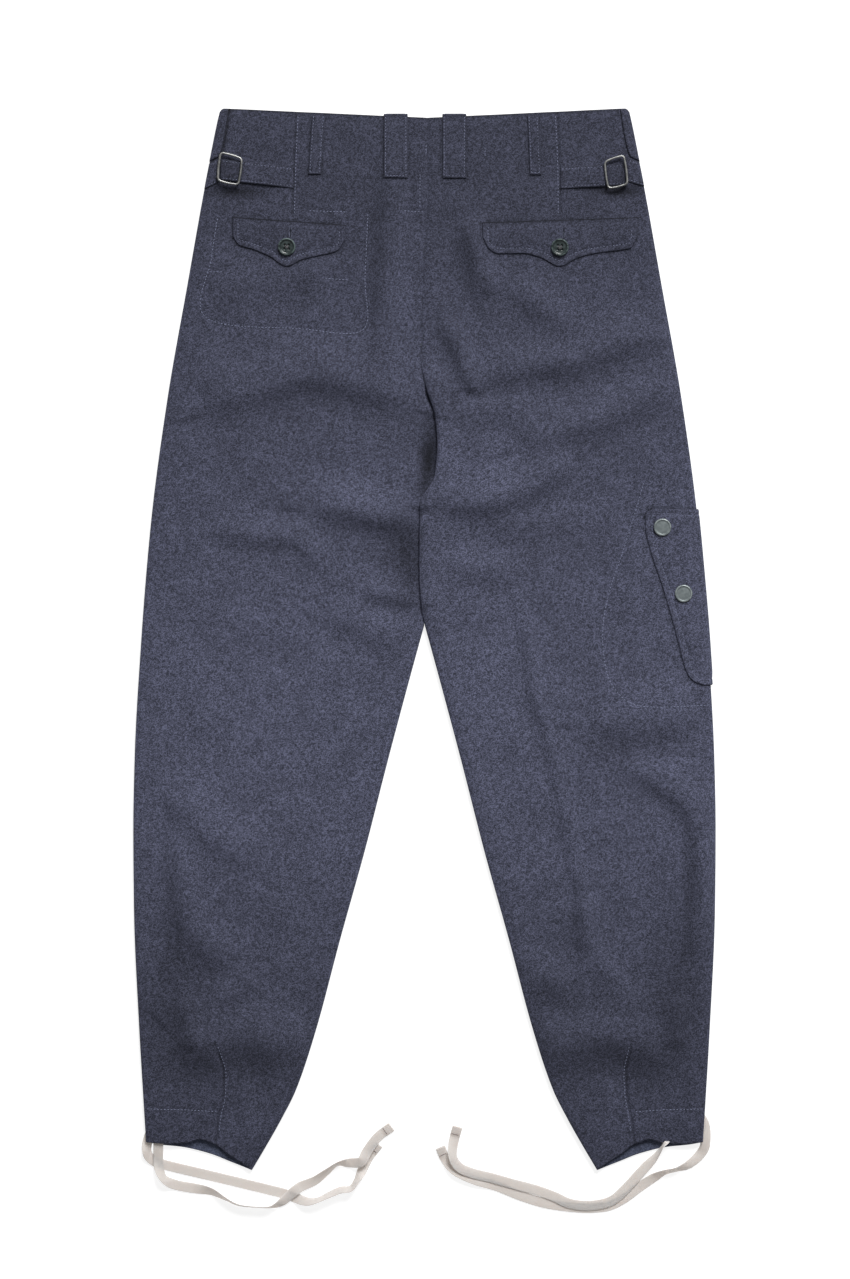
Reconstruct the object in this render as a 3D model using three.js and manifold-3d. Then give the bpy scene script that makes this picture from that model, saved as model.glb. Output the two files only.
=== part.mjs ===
// Military trousers in heavy wool, laid flat on a surface with their back up.
// x runs across, y towards the waist and z up from the surface that the front panels lie on.
// "down" is a distance below the waist's corners and "half" a distance out from the middle line.
import * as THREE from 'three';
import Module from 'manifold-3d';

const wasm = await Module();
wasm.setup();

// Driving dimensions, in millimetres.
const LENGTH = 1063; // waist corners to the lowest point of the hems
const CLOTH = 2.2; // thickness of the wool
const GAP = 0.3; // clearance between sewn pieces
const BACK_TOP = 7; // outer face of the back panels between folds
const SIDE_ROLL = 16; // how far in from an edge the back starts to roll down to the front
const WAIST_DIP = 9.5; // how far the waist edge sags in the middle
const CROTCH_DOWN = 517; // tip of the gap between the legs
const FLY_WIDTH = 45;
const FLY_STRAIGHT = 190; // straight part of the fly, before its curve
const LAP = 8; // how far the left back reaches under the right one at the seat
const LAP_RAISE = 3; // how far the right back is lifted there
const LAPPED = { from: 290, full: 306, until: 478 }; // stretch of the seat, down, that laps
const CUFF_OPEN = 1.6; // how far the ankle slit lets the back rise at the side edge
const WAIST_PRESS = 0.8; // how far the waist edge is pressed down
const STRAP_THICK = 2.4;
const LOOP_THICK = 2.6;
const FLAP_THICK = 2;
const THIN_FLAP = 1.6; // thigh flap and side wraps
const WRAP_DOWN = 49; // lower end of the side wraps
const TAPE_WIDTH = 10;
const TAPE_THICK = 0.8;
const WIRE = 2.2; // buckle wire
const BUTTON_DIAMETER = 17.6;
const SNAP_DIAMETER = 17.5;
const FRONT_TOP = CLOTH;
const RIM_TOP = FRONT_TOP + GAP + CLOTH;
const LAY = GAP + 0.1; // height of a piece above the facets of the panel that it lies on

// Rows and columns of the back panels' grids.
const PANEL_ROWS = 44;
const PANEL_COLUMNS = 16;

// Half width of the flat trousers at the side edge.
const SIDE = [
  { down: 0, half: 203.5 },
  { down: 22, half: 208.5 },
  { down: 82, half: 220.5 },
  { down: 172, half: 236.5 },
  { down: 292, half: 257.5 },
  { down: 412, half: 273.5 },
  { down: 532, half: 283.5 },
  { down: 652, half: 290.2 },
  { down: 722, half: 291.5 },
  { down: 802, half: 290.8 },
  { down: 922, half: 285.5 },
  { down: 1040, half: 278.3 },
];

// Half width of the gap between the legs.
const INSEAM = [
  { down: CROTCH_DOWN, half: 0.15 },
  { down: 562, half: 12.5 },
  { down: 652, half: 36.5 },
  { down: 742, half: 59.5 },
  { down: 832, half: 84.5 },
  { down: 922, half: 108.5 },
  { down: 982, half: 128.5 },
  { down: 1012, half: 143.5 },
  { down: 1042, half: 160.5 },
  { down: 1063, half: 173 },
];

// Where the right back's inner edge lies: the seat seam, then the fold over the left leg.
const SEAT_EDGE = [
  { down: 0, x: 3 },
  { down: 100, x: 3.4 },
  { down: 150, x: -1 },
  { down: 250, x: -3.5 },
  { down: 282, x: 2 },
  { down: 307, x: 10 },
  { down: 335, x: 12.5 },
  { down: 367, x: 10 },
  { down: 398, x: -5 },
  { down: 460, x: -5.5 },
  { down: 500, x: -3.5 },
  { down: CROTCH_DOWN, x: 0.15 },
];

// Height of the hem below the waist's corners, from the inseam, across 0, to the side edge, across 1.
const FRONT_HEM = [
  { across: 0, down: 1063 },
  { across: 0.25, down: 1054 },
  { across: 0.46, down: 1046 },
  { across: 0.71, down: 1039.5 },
  { across: 0.88, down: 1037.5 },
  { across: 1, down: 1035 },
];
const BACK_HEM = [
  { across: 0, down: 1062.5 },
  { across: 0.17, down: 1053 },
  { across: 0.29, down: 1046.5 },
  { across: 0.4, down: 1038.7 },
  { across: 0.48, down: 1034.5 },
  { across: 0.575, down: 1031.6 },
  { across: 0.65, down: 1034.5 },
  { across: 0.82, down: 1036 },
  { across: 1, down: 1034.5 },
];

// Largest folds of the back: a crest from one point to another, bowed sideways by bow.
const FOLDS = [
  { x1: -12, down1: 62, x2: -40, down2: 238, bow: 0, width: 12, height: 3 },
  { x1: -190, down1: 182, x2: -94, down2: 166, bow: 4, width: 20, height: 2.5 },
  { x1: -210, down1: 280, x2: -26, down2: 280, bow: 18, width: 18, height: 5 },
  { x1: -240, down1: 390, x2: -24, down2: 372, bow: 4, width: 22, height: 5.5 },
  { x1: -120, down1: 396, x2: -14, down2: 398, bow: 5, width: 13, height: 5 },
  { x1: -76, down1: 484, x2: -8, down2: 480, bow: 0, width: 12, height: 3 },
  { x1: -100, down1: 494, x2: -30, down2: 534, bow: 0, width: 16, height: 2.5 },
  { x1: -255, down1: 694, x2: -182, down2: 740, bow: 6, width: 18, height: 3.5 },
  { x1: -228, down1: 792, x2: -214, down2: 930, bow: 0, width: 16, height: 3.5 },
  { x1: -246, down1: 808, x2: -192, down2: 848, bow: 0, width: 14, height: 2.5 },
  { x1: -252, down1: 900, x2: -122, down2: 936, bow: -12, width: 19, height: 6.5 },
  { x1: 26, down1: 116, x2: 46, down2: 192, bow: 0, width: 14, height: 2.5 },
  { x1: 18, down1: 262, x2: 46, down2: 324, bow: 0, width: 12, height: 4 },
  { x1: 90, down1: 168, x2: 156, down2: 204, bow: 0, width: 16, height: 2.5 },
  { x1: 64, down1: 262, x2: 246, down2: 226, bow: 4, width: 18, height: 4.5 },
  { x1: 114, down1: 322, x2: 258, down2: 266, bow: -9, width: 18, height: 4.5 },
  { x1: 8, down1: 394, x2: 160, down2: 348, bow: -10, width: 15, height: 5 },
  { x1: 26, down1: 452, x2: 100, down2: 462, bow: 0, width: 16, height: 3 },
  { x1: 88, down1: 482, x2: 150, down2: 842, bow: 6, width: 10, height: 2.5 },
  { x1: 154, down1: 612, x2: 284, down2: 596, bow: -5, width: 18, height: 3.5 },
  { x1: 190, down1: 652, x2: 274, down2: 716, bow: 10, width: 18, height: 4 },
  { x1: 272, down1: 724, x2: 280, down2: 842, bow: 0, width: 15, height: 3 },
  { x1: 110, down1: 878, x2: 176, down2: 878, bow: 0, width: 16, height: 3.5 },
  { x1: 128, down1: 934, x2: 238, down2: 932, bow: 10, width: 19, height: 6.5 },
  { x1: 228, down1: 930, x2: 244, down2: 892, bow: 0, width: 14, height: 4 },
];

// Pocket flaps: their straight top edge, and how far they drop below it, from left to right.
const FLAPS = [
  {
    name: 'pocket_flap_left', side: -1, left: -192, right: -79, topLeft: 109, topRight: 117,
    buttonX: -137.7, buttonDown: 139.2,
    edge: [
      { across: 0, drop: 20 },
      { across: 0.06, drop: 28 },
      { across: 0.19, drop: 31.5 },
      { across: 0.33, drop: 37.2 },
      { across: 0.475, drop: 46 },
      { across: 0.62, drop: 38 },
      { across: 0.76, drop: 33 },
      { across: 0.93, drop: 26.5 },
      { across: 1, drop: 15 },
    ],
  },
  {
    name: 'pocket_flap_right', side: 1, left: 57.8, right: 213.3, topLeft: 114.6, topRight: 109.4,
    buttonX: 135.3, buttonDown: 139.6,
    edge: [
      { across: 0, drop: 15 },
      { across: 0.04, drop: 27 },
      { across: 0.1, drop: 32 },
      { across: 0.26, drop: 32.4 },
      { across: 0.37, drop: 37 },
      { across: 0.5, drop: 46.5 },
      { across: 0.62, drop: 38.5 },
      { across: 0.74, drop: 34.6 },
      { across: 0.95, drop: 31 },
      { across: 1, drop: 19 },
    ],
  },
];

// Belt loops, each a slanted strip from its top to its bottom. A wide one folds over the waist edge.
const LOOP_TOP = 8; // down of a narrow loop's sewn top
const LOOPS = [
  { name: 'belt_loop_narrow_left', top: -106, bottom: -110, bottomDown: 66.5, width: 13, wide: false },
  { name: 'belt_loop_wide_left', top: -28.8, bottom: -28.8, bottomDown: 70.3, width: 24, wide: true },
  { name: 'belt_loop_wide_right', top: 29.8, bottom: 29.8, bottomDown: 70.3, width: 24, wide: true },
  { name: 'belt_loop_narrow_right', top: 108.5, bottom: 111, bottomDown: 67, width: 11.5, wide: false },
];

// Cinch straps run from the darts to the buckles, tabs from the side edge to them.
const CINCHES = [
  {
    hand: 'left', side: -1,
    strap: { x1: -131.5, down1: 69.6, x2: -199, down2: 62, width: 21.5 },
    tab: { x1: -201.5, down1: 61.5, down2: 68.2, width: 25 },
    corners: [[-203.8, 44.6], [-182.2, 50.8], [-185.9, 77.4], [-206.7, 72.8]],
  },
  {
    hand: 'right', side: 1,
    strap: { x1: 136, down1: 70, x2: 194, down2: 67, width: 22 },
    tab: { x1: 196.5, down1: 60.5, down2: 66.2, width: 24 },
    corners: [[179.8, 54.1], [199.2, 47.5], [203, 76.5], [183.5, 81.1]],
  },
];

// Inner edge of the strip of front cloth that wraps over the side at the waist.
const WRAP_LINE = [
  { down: 1.5, half: 195.5 },
  { down: 22, half: 198.6 },
  { down: 44, half: 203.5 },
  { down: 50, half: 207 },
  { down: 54, half: 213 },
];

// Slanted free edge of the thigh pocket's flap, from its top corner down.
const THIGH_FLAP = {
  top: 401, bottom: 577,
  edge: [
    { along: 0, x: 226 },
    { along: 0.03, x: 221 },
    { along: 0.1, x: 220.8 },
    { along: 0.24, x: 226 },
    { along: 0.43, x: 237 },
    { along: 0.62, x: 247 },
    { along: 0.79, x: 255.5 },
    { along: 0.93, x: 263.5 },
    { along: 1, x: 272 },
  ],
};
const SNAPS = [
  { name: 'thigh_snap_upper', x: 237.9, down: 419.4 },
  { name: 'thigh_snap_lower', x: 259, down: 485.6 },
];

// Ankle tapes, point by point from the leg to the free end. Lean turns the tape up on its edge, in
// degrees, and over is the height of what it lies on.
const TAPES = [
  {
    name: 'ankle_tape_left_outer',
    route: [
      { x: -264, down: 1017, lean: 0, over: 2.5 },
      { x: -273, down: 1024, lean: 0, over: 2.5 },
      { x: -277.3, down: 1034, lean: 0, over: 2.3 },
      { x: -278, down: 1044, lean: -25, over: 0.3 },
      { x: -273.5, down: 1052, lean: -8, over: 0 },
      { x: -261, down: 1057.5, lean: 0, over: 0 },
      { x: -215, down: 1068.5, lean: 0, over: 0 },
      { x: -165, down: 1080.5, lean: 0, over: 0 },
      { x: -141, down: 1086.5, lean: 0, over: 0 },
      { x: -130, down: 1090.5, lean: 0, over: 0 },
      { x: -118, down: 1094, lean: -40, over: 0 },
      { x: -107, down: 1092.5, lean: -66, over: 0 },
      { x: -97, down: 1088, lean: -62, over: 0 },
      { x: -84, down: 1082.5, lean: -55, over: 0 },
      { x: -74, down: 1081, lean: -60, over: 0 },
      { x: -67.5, down: 1072.5, lean: -55, over: 0 },
      { x: -62, down: 1062, lean: -15, over: 0 },
      { x: -56, down: 1050, lean: 0, over: 0 },
      { x: -46, down: 1037, lean: 0, over: 0 },
    ],
  },
  {
    name: 'ankle_tape_left_inner',
    route: [
      { x: -266.3, down: 1028, lean: 0, over: 3.9 },
      { x: -266.4, down: 1039, lean: 0, over: 3.2 },
      { x: -266.5, down: 1050, lean: 0, over: 1.7 },
      { x: -266, down: 1060, lean: -15, over: 1.1 },
      { x: -261, down: 1071, lean: -45, over: 0.4 },
      { x: -250, down: 1077.5, lean: -5, over: 0 },
      { x: -232, down: 1081, lean: 0, over: 0 },
      { x: -214, down: 1084, lean: 35, over: 0 },
      { x: -199, down: 1091.5, lean: 65, over: 0 },
      { x: -186, down: 1097.5, lean: 72, over: 0 },
      { x: -168, down: 1099.5, lean: 76, over: 0 },
      { x: -154, down: 1099.5, lean: 70, over: 0 },
      { x: -143.5, down: 1095, lean: 35, over: 1.2 },
      { x: -133.5, down: 1086.5, lean: 0, over: 2 },
      { x: -124, down: 1079.5, lean: 0, over: 1.6 },
      { x: -110, down: 1073.5, lean: 20, over: 0 },
      { x: -98, down: 1064.5, lean: 45, over: 0 },
      { x: -87, down: 1056.5, lean: 60, over: 0 },
      { x: -75, down: 1055.5, lean: 15, over: 1 },
      { x: -63.5, down: 1054, lean: 0, over: 5.5 },
      { x: -57.5, down: 1044, lean: 0, over: 3.5 },
      { x: -47, down: 1030, lean: 10, over: 1.2 },
      { x: -33, down: 1019.5, lean: 0, over: 0 },
    ],
  },
  {
    name: 'ankle_tape_right_outer',
    route: [
      { x: 270, down: 1005, lean: 0, over: 2.5 },
      { x: 278, down: 1012, lean: 0, over: 2.5 },
      { x: 281.3, down: 1022, lean: 0, over: 2.4 },
      { x: 281, down: 1037.5, lean: 0, over: 2.3 },
      { x: 277.5, down: 1045, lean: 15, over: 0.2 },
      { x: 271, down: 1050, lean: 10, over: 0 },
      { x: 263, down: 1057, lean: -50, over: 0 },
      { x: 252, down: 1061, lean: -68, over: 0 },
      { x: 240, down: 1065, lean: -50, over: 0 },
      { x: 228, down: 1071.5, lean: -15, over: 0 },
      { x: 214, down: 1081, lean: 0, over: 0 },
      { x: 199, down: 1092, lean: 0, over: 0 },
      { x: 184, down: 1099, lean: 0, over: 0 },
      { x: 166, down: 1101, lean: 0, over: 0 },
      { x: 146, down: 1100, lean: 0, over: 0 },
      { x: 120, down: 1097, lean: 0, over: 0 },
      { x: 96, down: 1090, lean: 0, over: 0 },
      { x: 72, down: 1079, lean: 0, over: 0 },
      { x: 50, down: 1072.5, lean: 15, over: 0 },
      { x: 31, down: 1063.5, lean: 20, over: 0 },
      { x: 21, down: 1052, lean: 0, over: 0 },
      { x: 15.7, down: 1040, lean: 0, over: 0 },
    ],
  },
  {
    name: 'ankle_tape_right_inner',
    route: [
      { x: 245, down: 1026, lean: 0, over: 3.2 },
      { x: 240, down: 1034.5, lean: 0, over: 3.2 },
      { x: 235.5, down: 1043, lean: 45, over: 2.2 },
      { x: 229.5, down: 1050.5, lean: 55, over: 0.6 },
      { x: 223, down: 1058, lean: 35, over: 0 },
      { x: 213, down: 1069, lean: 5, over: 1.5 },
      { x: 202, down: 1081, lean: 0, over: 2 },
      { x: 190, down: 1092, lean: 15, over: 1.6 },
      { x: 177, down: 1097, lean: 20, over: 1.6 },
      { x: 160, down: 1098.5, lean: 0, over: 1.6 },
      { x: 144, down: 1096, lean: 0, over: 1.6 },
      { x: 130, down: 1089, lean: 0, over: 1.6 },
      { x: 112, down: 1082, lean: 0, over: 1.4 },
      { x: 90, down: 1076, lean: 0, over: 1.4 },
      { x: 68, down: 1071, lean: 0, over: 1.6 },
      { x: 48, down: 1066, lean: 12, over: 1.6 },
      { x: 35, down: 1060, lean: 25, over: 1.6 },
      { x: 28.5, down: 1050, lean: 35, over: 1 },
      { x: 28.5, down: 1039, lean: 15, over: 0 },
      { x: 30.5, down: 1029, lean: 0, over: 0 },
      { x: 33.2, down: 1019.5, lean: 0, over: 0 },
    ],
  },
];

const COLOURS = {
  wool: 0x484b5b, loop: 0x444756, tape: 0xd0cbc5, steel: 0xb4b2ad, button: 0x3d4a4a, snap: 0x7d837c,
};

function material(color, roughness, metalness) {
  return new THREE.MeshStandardMaterial({ color, roughness, metalness });
}

const WOOL = material(COLOURS.wool, 0.95, 0);
const LOOP = material(COLOURS.loop, 0.95, 0);
const TAPE = material(COLOURS.tape, 0.9, 0);
const STEEL = material(COLOURS.steel, 0.35, 0.9);
const BUTTON = material(COLOURS.button, 0.5, 0);
const SNAP = material(COLOURS.snap, 0.5, 0.6);

// Small helpers of shape.
const mix = (a, b, t) => a + (b - a) * t;
const counted = (count, make) => Array.from({ length: count }, (_, i) => make(i));
const steps = (count, make) => counted(count + 1, (i) => make(i / count));
const clamp01 = (t) => Math.min(1, Math.max(0, t));
const yAt = (down) => LENGTH / 2 - down;

function smooth(from, to, value) {
  const t = clamp01((value - from) / (to - from));
  return t * t * (3 - 2 * t);
}

// A curve through a table's rows that never overshoots them: cubic pieces with limited slopes.
function curve(rows, from, to) {
  const xs = rows.map((row) => row[from]);
  const ys = rows.map((row) => row[to]);
  const slopes = xs.slice(1).map((x, i) => (ys[i + 1] - ys[i]) / (x - xs[i]));
  const tangents = xs.map((_, i) => {
    if (i === 0) return slopes[0];
    if (i === xs.length - 1) return slopes[i - 1];
    const [a, b] = [slopes[i - 1], slopes[i]];
    return a * b <= 0 ? 0 : (2 * a * b) / (a + b);
  });
  return (value) => {
    let i = 0;
    while (i < xs.length - 2 && value > xs[i + 1]) i++;
    const step = xs[i + 1] - xs[i];
    const t = clamp01((value - xs[i]) / step);
    const h = t * t * (3 - 2 * t);
    const rise = step * (tangents[i] * t * (1 - t) ** 2 - tangents[i + 1] * t * t * (1 - t));
    return mix(ys[i], ys[i + 1], h) + rise;
  };
}

const sideHalf = curve(SIDE, 'down', 'half');
const inseamHalf = curve(INSEAM, 'down', 'half');
const seatEdge = curve(SEAT_EDGE, 'down', 'x');
const frontHem = curve(FRONT_HEM, 'across', 'down');
const backHem = curve(BACK_HEM, 'across', 'down');
const wrapLine = curve(WRAP_LINE, 'down', 'half');
const waistDown = (across) => WAIST_DIP * (1 - across);

// How much the seat laps at a place: 0 above and below the overlap and 1 along it.
function lapping(down) {
  return smooth(LAPPED.from, LAPPED.full, down) * (1 - smooth(LAPPED.until, CROTCH_DOWN, down));
}

// The inner edge of a back panel, as an x.
function backInner(side, down) {
  if (down >= CROTCH_DOWN) return side * inseamHalf(down);
  return side > 0 ? seatEdge(down) : seatEdge(down) - GAP + LAP * lapping(down);
}

// A closed body from two grids of points, the top and the bottom of a slab, joined around their rim.
function slab(top, bottom) {
  const rows = top.length;
  const columns = top[0].length;
  const index = [];
  const at = (layer, r, c) => (layer * rows + r) * columns + c;
  const quad = (a, b, c, d) => index.push(a, b, c, a, c, d);
  for (let r = 0; r < rows - 1; r++) {
    for (let c = 0; c < columns - 1; c++) {
      quad(at(0, r, c), at(0, r, c + 1), at(0, r + 1, c + 1), at(0, r + 1, c));
      quad(at(1, r, c), at(1, r + 1, c), at(1, r + 1, c + 1), at(1, r, c + 1));
    }
  }
  const rim = [];
  for (let c = 0; c < columns; c++) rim.push([0, c]);
  for (let r = 1; r < rows; r++) rim.push([r, columns - 1]);
  for (let c = columns - 2; c >= 0; c--) rim.push([rows - 1, c]);
  for (let r = rows - 2; r > 0; r--) rim.push([r, 0]);
  rim.forEach(([r, c], i) => {
    const [nextR, nextC] = rim[(i + 1) % rim.length];
    quad(at(1, r, c), at(1, nextR, nextC), at(0, nextR, nextC), at(0, r, c));
  });
  return body([...top.flat(), ...bottom.flat()], index);
}

// A geometry from points and triangles, turned so that its faces point out.
function body(points, index) {
  let volume = 0;
  for (let i = 0; i < index.length; i += 3) {
    const [a, b, c] = [0, 1, 2].map((k) => new THREE.Vector3(...points[index[i + k]]));
    volume += a.dot(b.cross(c));
  }
  const turned = volume > 0 ? index : index.map((_, i) => index[i - (i % 3) + [0, 2, 1][i % 3]]);
  const geometry = new THREE.BufferGeometry();
  geometry.setAttribute('position', new THREE.Float32BufferAttribute(points.flat(), 3));
  geometry.setIndex(turned);
  geometry.computeVertexNormals();
  return geometry;
}

// A section carried round a closed path. Each station has its centre and the directions of the
// section's width and thickness.
function sweep(stations, section) {
  const sides = section.length;
  const points = stations.flatMap(({ centre, wide, thick }) => section.map(([a, b]) => (
    [0, 1, 2].map((k) => centre[k] + wide[k] * a + thick[k] * b)
  )));
  const index = stations.flatMap((_, s) => section.flatMap((_, k) => {
    const [next, after] = [(s + 1) % stations.length, (k + 1) % sides];
    const [a, b, c, d] = [s * sides + k, s * sides + after, next * sides + after, next * sides + k];
    return [a, b, c, a, c, d];
  }));
  return body(points, index);
}

// Height that the folds add at a place, each a smooth ridge that fades towards its ends.
function foldHeight(x, down) {
  return FOLDS.reduce((sum, { x1, down1, x2, down2, bow, width, height }) => {
    const [dx, dd] = [x2 - x1, down2 - down1];
    const length = Math.hypot(dx, dd);
    const t = clamp01(((x - x1) * dx + (down - down1) * dd) / (length * length));
    const bend = bow * 4 * t * (1 - t);
    const crestX = x1 + dx * t + (dd / length) * bend;
    const crestDown = down1 + dd * t - (dx / length) * bend;
    const distance = Math.hypot(x - crestX, down - crestDown);
    return sum + height * (1 - 0.6 * (2 * t - 1) ** 4) * Math.exp(-((distance / width) ** 2));
  }, 0);
}

// Outer face of a back panel: the rest height and the folds, rolled down to the front at the side
// and the inseam, and at the seat where the left back goes under the lifted right one.
function backHeight(side, x, down) {
  const fromSide = sideHalf(down) - Math.abs(x);
  const fromInner = side * (x - backInner(side, down));
  const roll = (distance) => Math.sqrt(1 - (1 - clamp01(distance / SIDE_ROLL)) ** 2);
  const rolls = side > 0 ? smooth(470, 540, down) : smooth(LAPPED.from - 15, LAPPED.from, down);
  const shape = roll(fromSide) * mix(1, roll(fromInner), rolls);
  const cuffOpen = CUFF_OPEN * smooth(975, 1010, down) * smooth(60, 0, fromSide);
  const fromWaist = down - waistDown(clamp01(Math.abs(x) / sideHalf(down)));
  const press = WAIST_PRESS * (1 - smooth(0, 12, fromWaist));
  const free = BACK_TOP + foldHeight(x, down) * smooth(0, 40, down) - RIM_TOP - press;
  const settled = 1 - smooth(LAPPED.until + 12, CROTCH_DOWN + 13, down);
  const lifted = smooth(LAPPED.from - 50, LAPPED.from - 10, down) * settled;
  const lift = side > 0 ? LAP_RAISE * lifted * Math.exp(-((fromInner / 30) ** 2)) : 0;
  return RIM_TOP + free * shape + cuffOpen + lift;
}

// Grids of a back panel's outer and inner face, closer together near the edges.
function backGrids(side) {
  const ease = (t, amount) => t - amount * Math.sin(2 * Math.PI * t);
  const top = [];
  for (let r = 0; r <= PANEL_ROWS; r++) {
    const along = ease(r / PANEL_ROWS, 0.03);
    top.push([]);
    for (let c = 0; c <= PANEL_COLUMNS; c++) {
      const across = ease(c / PANEL_COLUMNS, 0.1);
      const down = mix(waistDown(across), backHem(across), along);
      const x = mix(backInner(side, down), side * sideHalf(down), across);
      top[r].push([x, yAt(down), backHeight(side, x, down)]);
    }
  }
  return { top, bottom: top.map((row) => row.map(([x, y, z]) => [x, y, z - CLOTH])) };
}

const BACKS = { '-1': backGrids(-1), 1: backGrids(1) };

// Height of a back panel's outer face at a point, on its own triangles.
function heightOn(side, x, y) {
  const grid = BACKS[side].top;
  let nearest = { distance: Infinity, z: 0 };
  for (let r = 0; r < grid.length - 1; r++) {
    for (let c = 0; c < grid[0].length - 1; c++) {
      const [p, q, s, t] = [grid[r][c], grid[r][c + 1], grid[r + 1][c + 1], grid[r + 1][c]];
      for (const [a, b, d] of [[p, q, s], [p, s, t]]) {
        const area = (b[0] - a[0]) * (d[1] - a[1]) - (b[1] - a[1]) * (d[0] - a[0]);
        const u = ((x - a[0]) * (d[1] - a[1]) - (y - a[1]) * (d[0] - a[0])) / area;
        const v = ((b[0] - a[0]) * (y - a[1]) - (b[1] - a[1]) * (x - a[0])) / area;
        if (u >= 0 && v >= 0 && u + v <= 1) return a[2] + u * (b[2] - a[2]) + v * (d[2] - a[2]);
      }
      const distance = Math.hypot(p[0] - x, p[1] - y);
      if (distance < nearest.distance) nearest = { distance, z: p[2] };
    }
  }
  return nearest.z;
}

// A piece of cloth laid on a back panel. Place gives the x and the down of a point from two numbers
// between 0 and 1. A lip folds over the panel's edge where the second is 1, down to a given height.
function laid({ side, columns, rows, place, thick, lip }) {
  const top = [];
  const bottom = [];
  for (let r = 0; r <= rows; r++) {
    top.push([]);
    bottom.push([]);
    for (let c = 0; c <= columns; c++) {
      const [x, down] = place(c / columns, r / rows);
      const under = heightOn(side, x, yAt(down)) + LAY;
      bottom[r].push([x, yAt(down), under]);
      top[r].push([x, yAt(down), under + thick]);
    }
  }
  if (lip) {
    const [ox, oy] = lip.towards;
    const shift = (points, by, z) => points.map((p) => [p[0] + ox * by, p[1] + oy * by, z ?? p[2]]);
    const [lastTop, lastBottom] = [top.pop(), bottom.pop()];
    bottom.push(shift(lastBottom, LAY), shift(lastBottom, LAY, lip.until));
    const corner = shift(lastTop, LAY + thick).map(([x, y, z]) => [x, y, z - thick / 3]);
    top.push(corner, shift(lastTop, LAY + thick, lip.until));
  }
  return slab(top, bottom);
}

const trousers = new THREE.Group();

function add(name, geometry, finish) {
  const mesh = new THREE.Mesh(geometry, finish);
  mesh.name = name;
  trousers.add(mesh);
  return mesh;
}

// A flat panel from its outline, with slightly rounded edges, resting on the surface.
function flatPanel(outline) {
  const edge = 0.5;
  const shape = new THREE.Shape(outline.map(([x, down]) => new THREE.Vector2(x, yAt(down))));
  const geometry = new THREE.ExtrudeGeometry(shape, {
    depth: CLOTH - 2 * edge, bevelThickness: edge, bevelSize: edge, bevelOffset: -edge, bevelSegments: 1,
  });
  geometry.translate(0, 0, edge);
  return geometry;
}


// Half of the fly's outline: its straight edge and the quarter circle to the middle line.
function flyEdge(radius) {
  const arc = steps(6, (t) => {
    const turn = t * Math.PI / 2;
    return [-radius * Math.cos(turn), FLY_STRAIGHT + radius * Math.sin(turn)];
  });
  const waist = waistDown(radius / sideHalf(0));
  return [[-radius, waist], ...arc.slice(0, -1), [-GAP / 2, FLY_STRAIGHT + radius]];
}

function frontOutline(side) {
  const middle = side < 0 ? flyEdge(FLY_WIDTH + GAP).reverse() : [[GAP / 2, WAIST_DIP]];
  const halfAt = (down, across) => mix(Math.max(inseamHalf(down), GAP / 2), sideHalf(down), across);
  const waist = [[side * sideHalf(0), 0]];
  const sideEdge = steps(24, (t) => mix(4, frontHem(1), t)).map((down) => [side * sideHalf(down), down]);
  const hem = steps(12, (t) => 1 - t).slice(1, -1).map((across) => (
    [side * halfAt(frontHem(across), across), frontHem(across)]
  ));
  const inseam = steps(22, (t) => mix(frontHem(0), CROTCH_DOWN, t)).map((down) => (
    [side * Math.max(inseamHalf(down), GAP / 2), down]
  ));
  return [...middle, ...waist, ...sideEdge, ...hem, ...inseam];
}

function addPanels() {
  add('front_left', flatPanel(frontOutline(-1)), WOOL);
  add('front_right', flatPanel(frontOutline(1)), WOOL);
  add('fly', flatPanel([[-GAP / 2, WAIST_DIP], ...flyEdge(FLY_WIDTH)]), WOOL);
  add('back_left', slab(BACKS[-1].top, BACKS[-1].bottom), WOOL);
  add('back_right', slab(BACKS[1].top, BACKS[1].bottom), WOOL);
}

// The strips of front cloth that wrap over the side at the waist.
function addWraps() {
  for (const [hand, side] of [['left', -1], ['right', 1]]) {
    const place = (a, b) => {
      const down = mix(0.8, WRAP_DOWN, b);
      return [side * mix(Math.min(wrapLine(down), sideHalf(down) - 2), sideHalf(down), a), down];
    };
    add(`front_wrap_${hand}`, laid({ side, columns: 4, rows: 8, place, thick: THIN_FLAP }), WOOL);
  }
}

function addBeltLoops() {
  for (const { name, top, bottom, bottomDown, width, wide } of LOOPS) {
    const place = (a, b) => {
      const x = mix(bottom, top, b) + (a - 0.5) * width;
      const edge = waistDown(Math.abs(x) / sideHalf(0));
      return [x, mix(bottomDown, wide ? edge : LOOP_TOP, b)];
    };
    const lip = wide ? { towards: [0, 1], until: FRONT_TOP + 2 * GAP } : undefined;
    add(name, laid({ side: Math.sign(top), columns: 3, rows: 8, place, thick: LOOP_THICK, lip }), LOOP);
  }
}

// The buckle's wire: its four corners rounded, lying level on the strap and the tab.
function buckle(corners, height) {
  const round = 4;
  const stations = [];
  corners.forEach(([x, down], i) => {
    const corner = new THREE.Vector2(x, yAt(down));
    const [before, after] = [corners.at(i - 1), corners[(i + 1) % 4]].map(([px, pd]) => (
      new THREE.Vector2(px, yAt(pd)).sub(corner).normalize().multiplyScalar(round).add(corner)
    ));
    const bend = new THREE.QuadraticBezierCurve(before, corner, after);
    for (const t of [0, 0.25, 0.5, 0.75, 1]) {
      const [p, along] = [bend.getPoint(t), bend.getTangent(t)];
      stations.push({ centre: [p.x, p.y, height], wide: [-along.y, along.x, 0], thick: [0, 0, 1] });
    }
  });
  const section = counted(8, (i) => [
    Math.cos(i * Math.PI / 4) * WIRE / 2, Math.sin(i * Math.PI / 4) * WIRE / 2,
  ]);
  return sweep(stations, section);
}

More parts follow.
